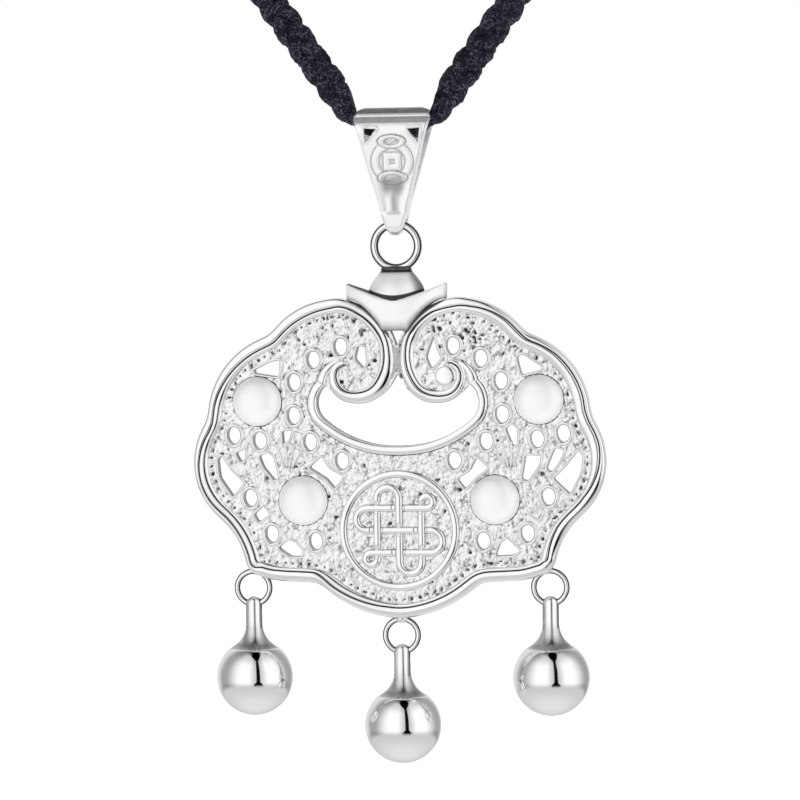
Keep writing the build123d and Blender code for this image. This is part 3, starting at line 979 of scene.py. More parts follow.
def band_section(place, whole, out):
    """Section of the band at a place along it: rounded edges, and one crease on top that is painted dark,
    as shade and tarnish.
    """
    from_curl = min(place, whole - place)
    scroll_share = 1.0 - min(max((from_curl - SCROLL_LENGTH + 3) / 3, 0.0), 1.0)
    reach = read_off(BAND_OUTER, from_curl)
    hold = read_off(BAND_INNER, from_curl)
    edge = 1.04 - 0.46 * out[0] ** 2 - 0.16 * out[1] - 0.6 * out[0] * out[1]
    rim_crease = reach - min(max(edge, 0.42), 1.1)
    curl_crease = read_off(CREASE_RIGHT if place < whole / 2 else CREASE_LEFT, from_curl)
    crease = rim_crease + (curl_crease - rim_crease) * scroll_share
    crease = min(max(crease, -hold + 0.2), reach - 0.2)
    # The crease's corners are painted dark, as shade and tarnish, and so is the band's foot
    groove = 0.1
    outer = reach - crease - groove
    inner = hold + crease - groove
    low = PLATE_HALF - 0.1
    top = RIM_HALF - 0.12 * scroll_share - 0.12 * (1 - min(from_curl / 1.5, 1.0))
    back = RIM_HALF - (RIM_HALF - PLATE_HALF + 0.04) * scroll_share
    wall = 0.0 if scroll_share < 1 else -0.3
    front = [
        (reach, wall, 0.0),
        (reach, top - 0.4, 0.0),
        (reach - 0.1 * outer, top - 0.2, 0.0),
        (reach - 0.3 * outer, top - 0.1, 0.0),
        (reach - 0.62 * outer, top - 0.04, 0.0),
        (crease + groove, top, 0.1),
        (crease + groove * 0.6, top - 0.06, 0.78),
        (crease, top - 0.13, 0.78),
        (crease - groove * 0.6, top - 0.06, 0.78),
        (crease - groove, top, 0.1),
        (-hold + 0.62 * inner, top - 0.03, 0.0),
        (-hold + 0.32 * inner, top - 0.1, 0.0),
        (-hold + 0.12 * inner, top - 0.2, 0.0),
        (-hold, low, 0.3),
    ]
    behind = [
        (-hold, -back + 0.46, 0.3),
        (-hold + 0.12, -back + 0.18, 0.0),
        (-hold + 0.4 * hold, -back + 0.03, 0.0),
        (reach - 0.4 * reach, -back + 0.03, 0.0),
        (reach - 0.14, -back + 0.14, 0.0),
        (reach, -back + 0.4, 0.0),
    ]
    return front + behind


def rim_and_scrolls():
    """The band with its two curls, and the small round blob in the right one's eye."""
    line = band_line()
    whole = (len(line) - 1) * BAND_STEP
    draft = Draft()
    lay(draft, line, lambda share, out: band_section(share * whole, whole, out), closed=False)
    # The blob's foot is painted darker, as shade where it meets the plate
    turned(draft, SCROLL_BLOB, [
        (SCROLL_BLOB_RADIUS, PLATE_HALF - 0.05, 0.4), (SCROLL_BLOB_RADIUS - 0.05, 0.9, 0.1),
        (SCROLL_BLOB_RADIUS - 0.16, 1.0, 0.0), (SCROLL_BLOB_RADIUS - 0.45, 1.05, 0.0), (0.3, 1.07, 0.0),
        (0.02, 1.07, 0.0)], sides=40)
    lock_piece(draft, "rim_and_scrolls", polished)


def bean_lip():
    """The smooth lip round the lower edge of the bean-shaped opening."""
    right = spaced(chain(LIP_START, LIP_EDGE), 0.18, False)
    line = right + flipped(right)[::-1][1:]

    def section(share, out):
        """The lip's section, which thins out towards both ends, painted dark along its outer foot as
        shade.
        """
        fade = min(share / 0.08, (1 - share) / 0.08, 1.0)
        top = PLATE_HALF + 0.08 + 0.3 * fade
        width = BEAN_LIP_WIDTH * (0.55 + 0.45 * fade)
        return [(0.0, PLATE_HALF - 0.3, 0.1), (0.01, top - 0.16, 0.0), (0.1, top - 0.04, 0.0),
                (0.3, top, 0.0), (width - 0.3, top - 0.02, 0.0), (width - 0.12, top - 0.12, 0.2),
                (width, PLATE_HALF - 0.02, 1.0), (width + 0.1, PLATE_HALF - 0.06, 0.9)]

    draft = Draft()
    lay(draft, line, section, closed=False)
    lock_piece(draft, "bean_lip", polished)


# Beads round the holes and of the ribs: width, height, painted shade at the foot, and sides
HOLE_BORDER = (0.3, 0.95, 0.2, 6)
DOME_ROWS = 20
RIB = (0.28, 1.0, 0.7, 6)


def hole_borders():
    """Raised borders round the holes, and round the hollow that isn't pierced."""
    draft = Draft()
    half = (RINGED_HOLE_HALF[0] + RING_BORDER / 2, RINGED_HOLE_HALF[1] + RING_BORDER / 2)
    for centre in round_holes:
        lay_bead(draft, oval(centre, half), RING_BORDER + 0.16, 1.05, 0.25)
    for line in [moved_out(hole, 0.1) for hole in shaped_outlines] + [rounded_corners(BLIND_HOLE)]:
        lay_bead(draft, line, *HOLE_BORDER)
    lock_piece(draft, "hole_borders", polished)


def plain_domes():
    """Four plain domes, each in a crease painted dark, as shade and tarnish."""
    profile = [(DOME_RADIUS + 0.13, PLATE_HALF - 0.05, 1.0), (DOME_RADIUS + 0.04, PLATE_HALF + 0.02, 1.0),
               (DOME_RADIUS - 0.02, PLATE_HALF + 0.1, 0.5)]
    for k in range(1, DOME_ROWS + 1):
        share = math.cos(math.pi / 2 * k / DOME_ROWS)
        profile.append((max(DOME_RADIUS * share, 0.02),
                        PLATE_HALF + 0.1 + (DOME_RISE - 0.1) * (1 - share ** 2.6) ** 0.62, 0.0))
    draft = Draft()
    for centre in DOMES:
        turned(draft, centre, profile, sides=72)
    lock_piece(draft, "domes", satin)


def rib_fans():
    """A fan of ribs beside each lower dome."""
    draft = Draft()
    for facing in (1, -1):
        for angle in FAN_ANGLES:
            way = (math.cos(math.radians(angle)), math.sin(math.radians(angle)))
            ends = [(facing * (FAN_PIVOT[0] + way[0] * reach), FAN_PIVOT[1] + way[1] * reach)
                    for reach in FAN_REACH]
            lay_bead(draft, spaced(ends, 0.3, False), *RIB, closed=False)
    lock_piece(draft, "rib_fans", polished)


# Medallion

KNOT_LANES = (-KNOT_PITCH, 0.0, KNOT_PITCH)
KNOT_STEP = 0.12
CROSSING_REACH = 0.75
CROSSING_DIP = 0.2


def knot_line():
    """The endless knot as one closed line, seen from the front."""
    p, r, loop = KNOT_PITCH, KNOT_REACH, KNOT_CORNER

    def bow(centre, radius, first, last, count=12):
        """Points on an arc, from one bearing in degrees to another."""
        return [(centre[0] + radius * math.cos(math.radians(first + (last - first) * k / count)),
                 centre[1] + radius * math.sin(math.radians(first + (last - first) * k / count)))
                for k in range(count + 1)]

    run = bow((-p / 2, r), p / 2, 180, 0)
    run += bow((p / 2, -r), p / 2, 180, 360)
    run += bow((p + loop, p + loop), loop, 180, -90)
    run += bow((-r, p / 2), p / 2, 90, 270)
    run += bow((r, -p / 2), p / 2, 90, -90)
    run += bow((-p - loop, -p - loop), loop, 90, 360)
    return spaced(run, KNOT_STEP, True)


def crossing_share(across, up):
    """How near a place is to the nearest crossing, 0 to 1."""
    away = min(math.hypot(across - lane, up - row) for lane in KNOT_LANES for row in KNOT_LANES)
    return max(1 - away / CROSSING_REACH, 0.0)


def passes_under(across, up, out):
    """Whether the knot's line passes under the other one at its nearest crossing."""
    column = min(range(3), key=lambda k: abs(across - KNOT_LANES[k]))
    row = min(range(3), key=lambda k: abs(up - KNOT_LANES[k]))
    upright = abs(out[0]) > 0.7
    return ((column + row) % 2 == 0) == upright


def knot_medallion():
    """An endless knot in a round border, both painted darker at their feet as shade."""
    draft = Draft()
    strand = knot_line()
    half = MEDALLION_BAR / 2
    rows = []
    for n, (across, up) in enumerate(strand):
        out = outward(strand, n, True)
        dip = crossing_share(across, up) if passes_under(across, up, out) else 0.0
        top = PLATE_HALF + MEDALLION_RELIEF - CROSSING_DIP * min(dip * 2.2, 1)
        section = [(half + 0.04, PLATE_HALF - 0.05, 0.8), (half - 0.03, top - 0.1, 0.3),
                   (half - 0.1, top - 0.01, 0.0), (0.0, top + 0.02, 0.0), (-half + 0.1, top - 0.01, 0.0),
                   (-half + 0.03, top - 0.1, 0.3), (-half - 0.04, PLATE_HALF - 0.05, 0.8)]
        rows.append([(on_lock(across + out[0] * o, MEDALLION_UP + up + out[1] * o, f), d)
                     for o, f, d in section])
    draft.skin(rows, along=True)
    border = oval((0, MEDALLION_UP), (MEDALLION_RADIUS - half,) * 2, 120)
    lay(draft, border, lambda share, out: [
        (0.4, PLATE_HALF - 0.05, 0.8), (0.34, 0.98, 0.2), (0.24, 1.07, 0.0), (0.0, 1.09, 0.0),
        (-0.24, 1.07, 0.0), (-0.34, 0.98, 0.2), (-0.4, PLATE_HALF - 0.05, 0.8)])
    lock_piece(draft, "knot_medallion", polished)


# Ingot collar, its egg and the wire rings

INGOT_HALF = 5.1
INGOT_DEPTH = 3.0
INGOT_STATIONS = 60
# The upper edge: its height in the middle, how round it is there and how steeply it climbs
INGOT_WAIST = 15.62
INGOT_ROUND = 0.4
INGOT_SLOPE = 2.18907
# The lower edge: half the width of its foot, and its height there and at the tips
INGOT_FOOT = 1.3
INGOT_FOOT_UP = 12.3
INGOT_TIP_RISE = 3.2
# Section of the ingot: share of its depth, share of its height, and darkness: painted shade on its top
# under the egg, down its lower flanks and under it
BOAT = [(0.0, 1.0, 0.8), (0.72, 1.0, 0.8), (0.84, 0.995, 0.5), (0.91, 0.98, 0.1), (0.96, 0.955, 0.0),
        (0.995, 0.88, 0.0), (1.0, 0.72, 0.0), (0.985, 0.5, 0.0), (0.95, 0.3, 0.28), (0.88, 0.14, 0.45),
        (0.76, 0.04, 0.55), (0.55, 0.0, 0.75), (0.0, 0.0, 0.75)]

EGG_FOOT = 15.2
EGG_HEIGHT = 3.25
EGG_ROWS = 52
EGG_SIDES = 96
# The egg's radius at each height above the datum
EGG_RADIUS = [(15.2, 2.9), (15.5, 2.93), (15.75, 2.93), (16.0, 2.92), (16.25, 2.88), (16.5, 2.82),
              (16.75, 2.74), (17.0, 2.63), (17.25, 2.48), (17.5, 2.3), (17.75, 2.1), (18.0, 1.9),
              (18.25, 1.7), (18.45, 1.55)]
CREASE_ABOVE = 0.34


def saddle(across):
    """The ingot's upper edge, lowest in the middle."""
    return INGOT_WAIST + INGOT_SLOPE * (math.hypot(across / INGOT_HALF, INGOT_ROUND) - INGOT_ROUND)


def flank(across):
    """The ingot's lower edge, which rises from its foot to its tips."""
    share = max(abs(across) - INGOT_FOOT, 0.0) / (INGOT_HALF - INGOT_FOOT)
    return INGOT_FOOT_UP + INGOT_TIP_RISE * math.sin(share * math.pi / 2) ** 0.85


def ingot_collar():
    """The ingot shaped like a boat, whose foot holds the two scrolls."""
    rows = []
    for n in range(INGOT_STATIONS + 1):
        across = -INGOT_HALF + 2 * INGOT_HALF * n / INGOT_STATIONS
        top = saddle(across)
        foot = flank(across)
        depth = INGOT_DEPTH * math.sqrt(1 - (across / 5.4) ** 2)
        half = [(depth * d, foot + (top - foot) * h, dark) for d, h, dark in BOAT]
        around = half + [(-d, h, dark) for d, h, dark in reversed(half[1:-1])]
        rows.append([(on_lock(across, h, d), dark) for d, h, dark in around])
    draft = Draft()
    draft.skin(rows, capped=True)
    lock_piece(draft, "ingot_collar", satin, sharp=50)


def egg():
    """The egg in the boat, with painted shade in the crease over the boat, on its right side and near the
    ring.
    """
    stations = [(14.0, 2.4)]
    for k in range(EGG_ROWS + 1):
        height = EGG_FOOT + EGG_HEIGHT * k / EGG_ROWS
        stations.append((height, read_off(EGG_RADIUS, height)))
    stations += [(18.6, 1.4), (18.68, 1.2), (18.7, 0.3)]
    rows = []
    for height, radius in stations:
        row = []
        for k in range(EGG_SIDES):
            across = radius * math.cos(math.tau * k / EGG_SIDES)
            forward = radius * math.sin(math.tau * k / EGG_SIDES)
            above = height - saddle(across)
            # Painted shade in the crease over the boat, on the crown under the ring and down the right
            # side
            crease = 1 - rise(above, CREASE_ABOVE - 0.12, CREASE_ABOVE + 0.1)
            crown = 0.42 * rise(height, 17.4, 18.25) + 0.58 * rise(height, 18.15, 18.4)
            right = 0.6 * rise(across / radius, 0.45, 0.95)
            row.append((on_lock(across, height, forward), min(max(crease, crown, right), 1.0)))
        rows.append(row)
    draft = Draft()
    draft.skin(rows, capped=True)
    lock_piece(draft, "egg", satin)


def wire_rings():
    """The ring in the bail's tongue, and the three small ones that hold the drops."""
    draft = Draft()
    wire_ring(draft, (0, TOP_RING_UP), TOP_RING_RADIUS, TOP_WIRE, 96)
    for centre in SMALL_RINGS.values():
        wire_ring(draft, centre, SMALL_RING_RADIUS, SMALL_WIRE)
    lock_piece(draft, "wire_rings", polished)


def solder_joints():
    """Solder where the small rings meet the rim, and where the top ring meets the egg, with painted shade
    at their feet and over all of the top one.
    """
    draft = Draft()
    for across, up in SMALL_RINGS.values():
        turned(draft, (across * 0.965, up + SMALL_RING_RADIUS), [
            (0.5, -0.35, 0.3), (0.62, -0.1, 0.0), (0.66, 0.3, 0.0), (0.5, 0.55, 0.2)],
            sides=24, upright=True)
    turned(draft, (0, 18.6), [(1.66, -0.1, 0.7), (1.5, 0.1, 0.7), (1.2, 0.24, 0.8), (0.3, 0.3, 1.0)],
           sides=48, upright=True)
    lock_piece(draft, "solder_joints", polished)


# Bail

# The arch over the cord and the tongue round the ring: height and radius in side view
BAIL_ARCH = (32.7, 2.28)
BAIL_TONGUE = (23.2, 1.07)
# Half the sheet's width, by height
BAIL_HALF = [(21.9, 0.3), (22.15, 0.5), (22.6, 0.78), (23.1, 0.98), (24.2, 1.32), (25.1, 1.46),
             (26.1, 1.76), (27.8, 2.26), (30.3, 2.93), (32.0, 3.36), (33.3, 3.75), (33.9, 3.92),
             (34.2, 3.9), (34.5, 3.8), (34.75, 3.62), (34.9, 3.42), (34.98, 3.15)]
BAIL_PEAKS = [(1.6, 32.9), (2.85, 33.0), (2.7, 31.6)]
# The relief plate: how far it stands off the bail's sheet, how high its edge is and how deep its under
# side lies, where it begins and ends along the sheet, how far up the arch its front goes, and how
# fine its net of corners is
SHEET_RISE = 0.14
SHEET_EDGE = 0.03
SHEET_UNDER = 0.1
SHEET_START = -1.2
SHEET_PAST_ARCH = 5.6
ARCH_RUN = 3.6
SHEET_STEPS = 160
SHEET_PITCH = 0.085
PEAK_STEP = 0.07
COIN_UP = 29.6
COIN_RADIUS = 1.76
COIN_SQUARE = 0.575
COIN_OVALS = [((0.0, 31.68), (1.12, 0.54)), ((0.0, 27.95), (1.2, 0.56))]
COIN_RISE = 0.12
COIN_BORDER = 0.42
SQUARE_BORDER = 0.37
OVAL_BORDER = 0.2
OVAL_BORDER_RISE = 0.14
OVAL_WAVE = 0.16
OVAL_WAVE_RISE = 0.1
# Raised lines across the sheet: height on the sheet, half width, rise
CROSS_LINES = [(34.22, 0.12, 0.07), (33.45, 0.14, 0.05)]
PEAK_BORDER_OFF = 0.14
PEAK_BORDER_HALF = 0.16
PEAK_BORDER_RISE = 0.08
KEEL_FOOT = 24.35
KEEL_TOP = 27.4
KEEL_HALF = 0.5
KEEL_HOLLOW = 0.09
KEEL_FOOT_STEP = 0.05
# Painted reflection bands across the top of the sheet: how dark, by height
BAIL_BANDS = [(32.9, 0.0), (33.3, 0.35), (33.6, 0.52), (34.05, 0.52), (34.16, 0.1), (34.3, 0.1),
              (34.44, 0.6), (34.8, 0.64), (34.98, 0.5)]
BAIL_LEAN = math.asin((BAIL_ARCH[1] - BAIL_TONGUE[1]) / (BAIL_ARCH[0] - BAIL_TONGUE[0]))
BAIL_STRAIGHT = (BAIL_ARCH[0] - BAIL_TONGUE[0]) * math.cos(BAIL_LEAN)


def on_bail(along):
    """The bail's front sheet in side view: forward, up and the direction that it faces."""
    if along < 0:
        facing = -BAIL_LEAN + along / BAIL_TONGUE[1]
        middle, radius, extra = BAIL_TONGUE[0], BAIL_TONGUE[1], 0.0
    elif along > BAIL_STRAIGHT:
        facing = -BAIL_LEAN + (along - BAIL_STRAIGHT) / BAIL_ARCH[1]
        middle, radius, extra = BAIL_ARCH[0], BAIL_ARCH[1], 0.0
    else:
        facing = -BAIL_LEAN
        middle, radius, extra = BAIL_TONGUE[0], BAIL_TONGUE[1], along
    forward = radius * math.cos(facing) + extra * math.sin(BAIL_LEAN)
    up = middle + radius * math.sin(facing) + extra * math.cos(BAIL_LEAN)
    return forward, up, facing


def along_bail(up):
    """How far along the sheet a height lies, on its front."""
    low = SHEET_START
    high = BAIL_STRAIGHT + ARCH_RUN
    for _ in range(40):
        middle = (low + high) / 2
        if on_bail(middle)[1] < up:
            low = middle
        else:
            high = middle
    return (low + high) / 2


def bead(distance, width, height):
    """A small raised line, at a distance from its middle."""
    return height * max(0.0, 1.0 - (distance / width) ** 2)


def ridge(distance, half, height):
    """A raised line with a flat top, and the painted shade beside it."""
    lift = height * (1 - rise(distance, half - 0.17, half))
    shade = 0.5 * rise(distance, half - 0.2, half) * (1 - rise(distance, half, half + 0.3))
    return lift, shade


def edge_distance(across, up, corners):
    """How far a point is from the nearest edge of a shape with straight sides."""
    found = 9.0
    for (ax, ay), (bx, by) in zip(corners, corners[1:] + corners[:1]):
        share = ((across - ax) * (bx - ax) + (up - ay) * (by - ay)) / ((bx - ax) ** 2 + (by - ay) ** 2)
        share = min(max(share, 0.0), 1.0)
        found = min(found, math.hypot(across - ax - (bx - ax) * share, up - ay - (by - ay) * share))
    return found


def coin_relief(across, up):
    """The coin and the two ovals that overlap it: rise above the sheet, and painted shade."""
    coin = abs(math.hypot(across, up - COIN_UP) - COIN_RADIUS)
    square = abs(max(abs(across), abs(up - COIN_UP)) - COIN_SQUARE)
    lift = 0.0
    shade = 0.0
    for distance, half in ((coin, COIN_BORDER), (square, SQUARE_BORDER)):
        higher, darker = ridge(distance, half, COIN_RISE)
        lift = max(lift, higher)
        shade = max(shade, darker)
    for (middle_across, middle_up), (half_across, half_up) in COIN_OVALS:
        a = (across - middle_across) / half_across
        b = (up - middle_up) / half_up
        reach = math.hypot(a, b)
        line = (reach - 1) * half_up
        if line < 0.14:
            wave = abs(b - 0.5 * math.sin(math.pi * a)) * half_up
            higher, darker = ridge(abs(line), OVAL_BORDER, OVAL_BORDER_RISE)
            inner, inner_dark = ridge(wave, OVAL_WAVE, OVAL_WAVE_RISE) if reach < 0.72 else (0.0, 0.0)
            lift = COIN_RISE + max(higher, inner)
            shade = max(darker, inner_dark)
        else:
            shade = max(shade * rise(line, 0.14, 0.3), 0.6 * (1 - rise(line, 0.14, 0.34)))
    return lift, shade


def bail_relief(across, up, past_top):
    """Height and painted shade of the bail's front: bands, coin and ovals, and a keel over the tongue."""
    if past_top:
        return SHEET_RISE * 0.4, 0.3
    width = read_off(BAIL_HALF, up)
    height, shade = coin_relief(across, up)
    height += SHEET_RISE + sum(bead(up - line, half, lift) for line, half, lift in CROSS_LINES)
    zone = rise(up, KEEL_FOOT - 0.1, KEEL_FOOT + 0.25) * (1 - rise(up, KEEL_TOP - 0.3, KEEL_TOP + 0.5))
    middle = 1 - rise(abs(across) / max(width, 0.1), 0.35, 0.95)
    keel = math.exp(-(across / KEEL_HALF) ** 2)
    # Painted shade over the hollow above the tongue: darker towards its top, at its foot and down the
    # keel
    dark_top = 0.54 * rise(up, 24.8, 27.0) * (1 - rise(up, 27.5, 29.2))
    dark_foot = 0.48 * max(0.0, 1 - abs(up - KEEL_FOOT) / 0.6)
    shade = max(shade, read_off(BAIL_BANDS, up), middle * max(dark_top, dark_foot, 0.5 * keel * zone))
    height -= KEEL_HOLLOW * zone * middle * (1 - keel)
    height += KEEL_FOOT_STEP * (1 - rise(up, KEEL_FOOT - 0.25, KEEL_FOOT))
    from_peak = edge_distance(abs(across), up, BAIL_PEAKS)
    height += bead(from_peak - PEAK_BORDER_OFF, PEAK_BORDER_HALF, PEAK_BORDER_RISE)
    from_edge = max(width - abs(across), 0.0)
    height = SHEET_EDGE + (height - SHEET_EDGE) * math.sin(math.pi / 2 * min(from_edge / 0.3, 1.0))
    return height, shade


def bail_front():
    """The ornamented sheet that shows on the bail's front and over its top."""
    stop = BAIL_STRAIGHT + SHEET_PAST_ARCH
    right = []
    for k in range(SHEET_STEPS + 1):
        along = SHEET_START + (stop - SHEET_START) * k / SHEET_STEPS
        right.append((read_off(BAIL_HALF, on_bail(along)[1]) + SHEET_EDGE, along))
    lines = [clockwise(right + flipped(right)[::-1])]
    peaks = [(across, along_bail(up)) for across, up in BAIL_PEAKS]
    lines += [spaced(clockwise(corners), PEAK_STEP, True) for corners in (peaks, flipped(peaks))]
    loose = loose_corners(lines, SHEET_PITCH, SHEET_PITCH / 2, random.Random(11), 0.0)
    points, triangles, is_loose, rims = filled(lines, loose)
    top = BAIL_STRAIGHT + (math.pi / 2 + BAIL_LEAN) * BAIL_ARCH[1]
    front = []
    under = []
    for n, (across, along) in enumerate(points):
        forward, up, facing = on_bail(along)
        height, shade_and_tarnish = bail_relief(across, up, along > top)
        if not is_loose[n]:
            height = SHEET_EDGE
        front.append((on_lock(across, up + height * math.sin(facing),
                              forward + height * math.cos(facing)), shade_and_tarnish))
        under.append((on_lock(across, up - SHEET_UNDER * math.sin(facing),
                              forward - SHEET_UNDER * math.cos(facing)), 0.3))
    draft = Draft()
    front_row = draft.row(front)
    under_row = draft.row(under)
    draft.faces += [tuple(front_row[k] for k in triangle) for triangle in triangles]
    draft.faces += [tuple(under_row[k] for k in reversed(triangle)) for triangle in triangles]
    for around in rims:
        for here, after in zip(around, around[1:] + around[:1]):
            draft.faces.append((front_row[here], front_row[after], under_row[after], under_row[here]))
    draft.piece("bail_front", soft_polish, "necklace", "silver", sharp=60)


# Drops

# Where the stem leaves the ball, a place on its flare, and where it is straight: radius and height
DROP_LEAVES = (2.6, 2.974)
DROP_FLARE = (1.3, 4.1)
DROP_NECK = (0.85, 5.9)
# How dark the stem is painted, by height: painted shade and dark reflection in the flare where it leaves
# the ball, fading up the stem
DROP_SHADE = [(2.92, 0.0), (3.1, 0.5), (3.45, 0.55), (3.75, 0.45), (5.0, 0.36), (6.2, 0.15), (6.9, 0.1)]
DROP_EYE_ROOM = 0.12


def drop_profile():
    """Radius and height of a drop, measured from the middle of its ball, from the foot up."""
    points = [(0.02, -DROP_RADIUS)]
    points += arc((0.0, -DROP_RADIUS), (DROP_RADIUS, 0.0), DROP_LEAVES, 0.16)
    points += arc(DROP_LEAVES, DROP_FLARE, DROP_NECK, 0.12)
    eye = DROP_LENGTH - SMALL_RING_RADIUS
    radius = DROP_NECK[0]
    points += [(radius - 0.01, 6.4), (radius - 0.02, 6.9), (radius, eye)]
    points += [(radius * math.cos(math.pi / 2 * k / 8), eye + radius * math.sin(math.pi / 2 * k / 8))
               for k in range(1, 8)]
    return points + [(0.02, eye + radius)]


def bored(blank, bore):
    """The mesh of one draft with the other cut out of it."""
    solid = placed("blank", blank.mesh("blank"))
    cutter = placed("cutter", bore.mesh("cutter"))
    cut = solid.modifiers.new("bore", "BOOLEAN")
    cut.operation = "DIFFERENCE"
    cut.solver = "EXACT"
    cut.object = cutter
    seen = bpy.context.evaluated_depsgraph_get()
    mesh = bpy.data.meshes.new_from_object(solid.evaluated_get(seen))
    bpy.data.objects.remove(solid)
    bpy.data.objects.remove(cutter)
    return mesh


def drop_painted_shade(corner, across, up):
    """How dark a drop is painted at a corner: painted shade in its bore, where its stem begins and at the
    stem's sides.
    """
    bore = SMALL_WIRE + DROP_EYE_ROOM
    aside = corner.x / MM - across
    above_ring = corner.z / MM - DATUM - up
    from_ring = abs(math.hypot(aside, above_ring) - SMALL_RING_RADIUS)
    if math.hypot(from_ring, corner.y / MM) < bore + 0.02:
        return 0.8
    height = above_ring + DROP_LENGTH
    depth = read_off(DROP_SHADE, height)
    # The stem's sides are painted darker, as shade
    if height > DROP_NECK[1] - 0.8:
        depth = max(depth, 0.6 * rise(abs(aside) / DROP_NECK[0], 0.5, 0.95))
    return depth


def ball_drops():
    """Ball drops, turned in one with their stems, each bored for its ring."""
    for side, (across, up) in SMALL_RINGS.items():
        blank = Draft()
        profile = [(radius, height, 0.0) for radius, height in drop_profile()]
        turned(blank, (across, up - DROP_LENGTH), profile, sides=72, upright=True)
        bore = Draft()
        wire_ring(bore, (across, up), SMALL_RING_RADIUS, SMALL_WIRE + DROP_EYE_ROOM, 96, 20)
        mesh = bored(blank, bore)
        shade_and_tarnish = mesh.attributes.new("shade_and_tarnish", "FLOAT", "POINT")
        for vertex in mesh.vertices:
            shade_and_tarnish.data[vertex.index].value = drop_painted_shade(vertex.co, across, up)
        mesh.materials.clear()
        finished("ball_drop_" + side, mesh, polished, "lock", "drop_" + side, 50)


# Studio: a white tent with a narrow slit where the camera looks in, over a white table

CAMERA_AZIMUTH = 8.0
CAMERA_HEIGHT = 3.0
CAMERA_AWAY = 400.0
CAMERA_ROLL = 0.87
PICTURE_WIDTH = 82.3
PICTURE_MIDDLE = (0.17, 5.1)
SENSOR = 36.0

# The tent, in degrees: the slit's bearing, how much wider it grows towards its top and its foot, and
# how bright the walls are over their height
SLIT_BEARING = 19.5
SLIT_TOP_FLARE = 48.0
SLIT_FOOT_FLARE = 8.0
TENT_STRENGTH = 1.12
FLOOR_HALF = 3.0
FLOOR_DOWN = -0.33


def set_up_camera():
    """The camera stands a little to the right of the lock and a little above its middle."""
    aim = on_lock(*PICTURE_MIDDLE)
    round_it = math.radians(CAMERA_AZIMUTH)
    above = math.radians(CAMERA_HEIGHT)
    towards_camera = Vector((math.sin(round_it) * math.cos(above), -math.cos(round_it) * math.cos(above),
                             math.sin(above)))
    data = bpy.data.cameras.new("photo_camera")
    data.lens = SENSOR * CAMERA_AWAY / PICTURE_WIDTH
    data.sensor_width = SENSOR
    data.clip_start = 0.01
    camera = placed("photo_camera", data)
    look = (-towards_camera).to_track_quat("-Z", "Y").to_matrix().to_4x4()
    roll = Matrix.Rotation(math.radians(-CAMERA_ROLL), 4, "Z")
    camera.matrix_world = Matrix.Translation(aim + towards_camera * CAMERA_AWAY * MM) @ look @ roll
    bpy.context.scene.camera = camera


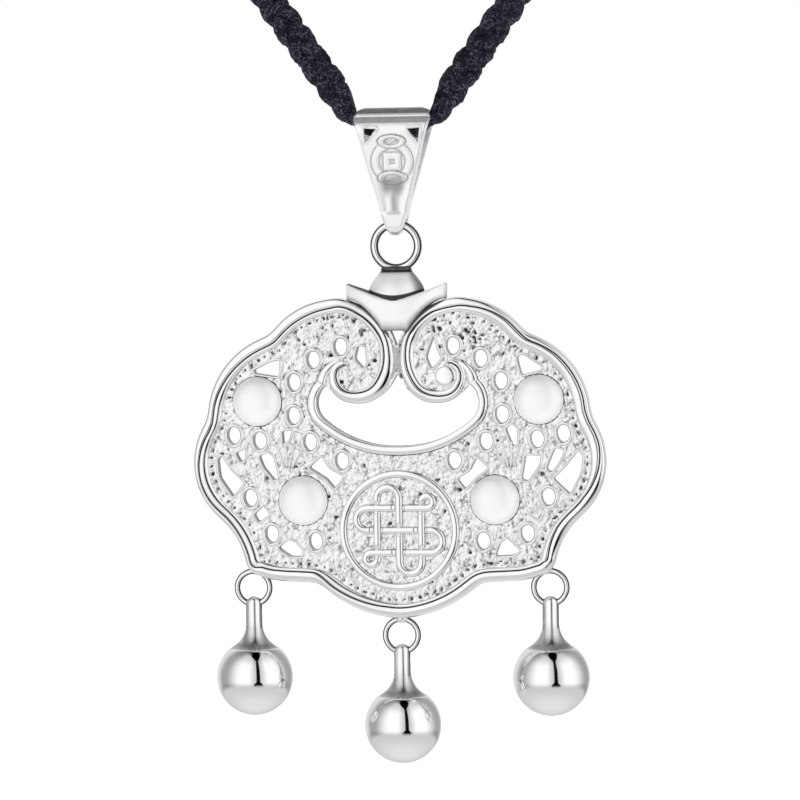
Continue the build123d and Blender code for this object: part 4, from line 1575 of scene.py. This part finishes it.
def tent_light(tree):
    """How much light comes from each direction: two bright walls with a dark slit between them, a
    dark opening overhead, greyer sides and a white table."""
    way = node(tree, "ShaderNodeTexCoord").outputs["Generated"]
    parts = node(tree, "ShaderNodeSeparateXYZ", {"Vector": way}).outputs

    def step(angle, low, high, start=0.0, end=1.0):
        """An eased step over an angle in degrees."""
        return eased_step(tree, angle, math.radians(low), math.radians(high), start, end)

    def times(one, two):
        """The product of two values."""
        return worked(tree, "MULTIPLY", one, two)

    def plus(one, two):
        """The sum of two values."""
        return worked(tree, "ADD", one, two)

    azimuth = worked(tree, "ARCTAN2", parts["X"], times(parts["Y"], -1.0))
    elevation = worked(tree, "ARCSINE", parts["Z"])
    from_slit = worked(tree, "ABSOLUTE", worked(tree, "SUBTRACT", azimuth, math.radians(SLIT_BEARING)))
    flare = plus(step(elevation, 52, 84, 0.0, math.radians(SLIT_TOP_FLARE)),
                 step(elevation, -8, -19, 0.0, math.radians(SLIT_FOOT_FLARE)))
    wall = step(worked(tree, "SUBTRACT", from_slit, flare), 4.5, 7.0)
    near_slit = step(from_slit, 5, 32, 0.7, 1.2)
    side = step(from_slit, 55, 112, 1.0, 0.36)
    behind = step(from_slit, 125, 155, 0.0, 0.42)
    walls = times(wall, plus(times(near_slit, side), behind))
    high = step(elevation, 35, 66, 1.0, 0.62)
    overhead = step(elevation, 66, 80, 1.0, 0.2)
    above_table = step(elevation, -27, -17)
    table_edge = step(elevation, -22, -10, 0.72, 1.0)
    tent = times(times(times(walls, times(high, overhead)), above_table), table_edge)
    table = times(step(elevation, -75, -25, 0.9, 0.72), step(elevation, -27, -17, 1.0, 0.0))
    return times(plus(tent, table), TENT_STRENGTH)


def set_up_tent():
    """Light from all round, by direction, while the camera itself sees plain white."""
    world = bpy.data.worlds.new("tent")
    bpy.context.scene.world = world
    world.use_nodes = True
    tree = world.node_tree
    tree.nodes.clear()
    lit = node(tree, "ShaderNodeBackground", {"Strength": tent_light(tree)})
    white = node(tree, "ShaderNodeBackground", {"Color": (1, 1, 1, 1), "Strength": 1.0})
    seen = node(tree, "ShaderNodeLightPath").outputs["Is Camera Ray"]
    choose = node(tree, "ShaderNodeMixShader", {0: seen, 1: lit.outputs[0], 2: white.outputs[0]})
    node(tree, "ShaderNodeOutputWorld", {"Surface": choose.outputs[0]})
    world.cycles.sampling_method = "MANUAL"
    world.cycles.sample_map_resolution = 1024


def set_up_floor():
    """A plain pale floor, well below the lowest drop."""
    mesh = bpy.data.meshes.new("floor")
    corners = [(across * FLOOR_HALF, back * FLOOR_HALF, FLOOR_DOWN)
               for across, back in ((-1, -1), (1, -1), (1, 1), (-1, 1))]
    mesh.from_pydata(corners, [], [(0, 1, 2, 3)])
    material, tree, shader = plain_material("pale_floor")
    join(tree, shader, {
        "Base Color": (0.95, 0.95, 0.95, 1), "Roughness": 0.9,
        "Emission Color": (1, 1, 1, 1), "Emission Strength": 0.6})
    mesh.materials.append(material)
    floor = placed("floor", mesh)
    floor.visible_glossy = False


# The pieces, and then the studio

knotted_cord()
sliding_knot()
pierced_plate()
rim_and_scrolls()
bean_lip()
hole_borders()
plain_domes()
rib_fans()
knot_medallion()
ingot_collar()
egg()
wire_rings()
solder_joints()
bail_front()
ball_drops()

# The bail's own solid shows at its sides and behind
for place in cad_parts["bail"].material_slots:
    place.material = satin

set_up_camera()
set_up_tent()
set_up_floor()
bpy.context.scene.view_settings.view_transform = "Standard"
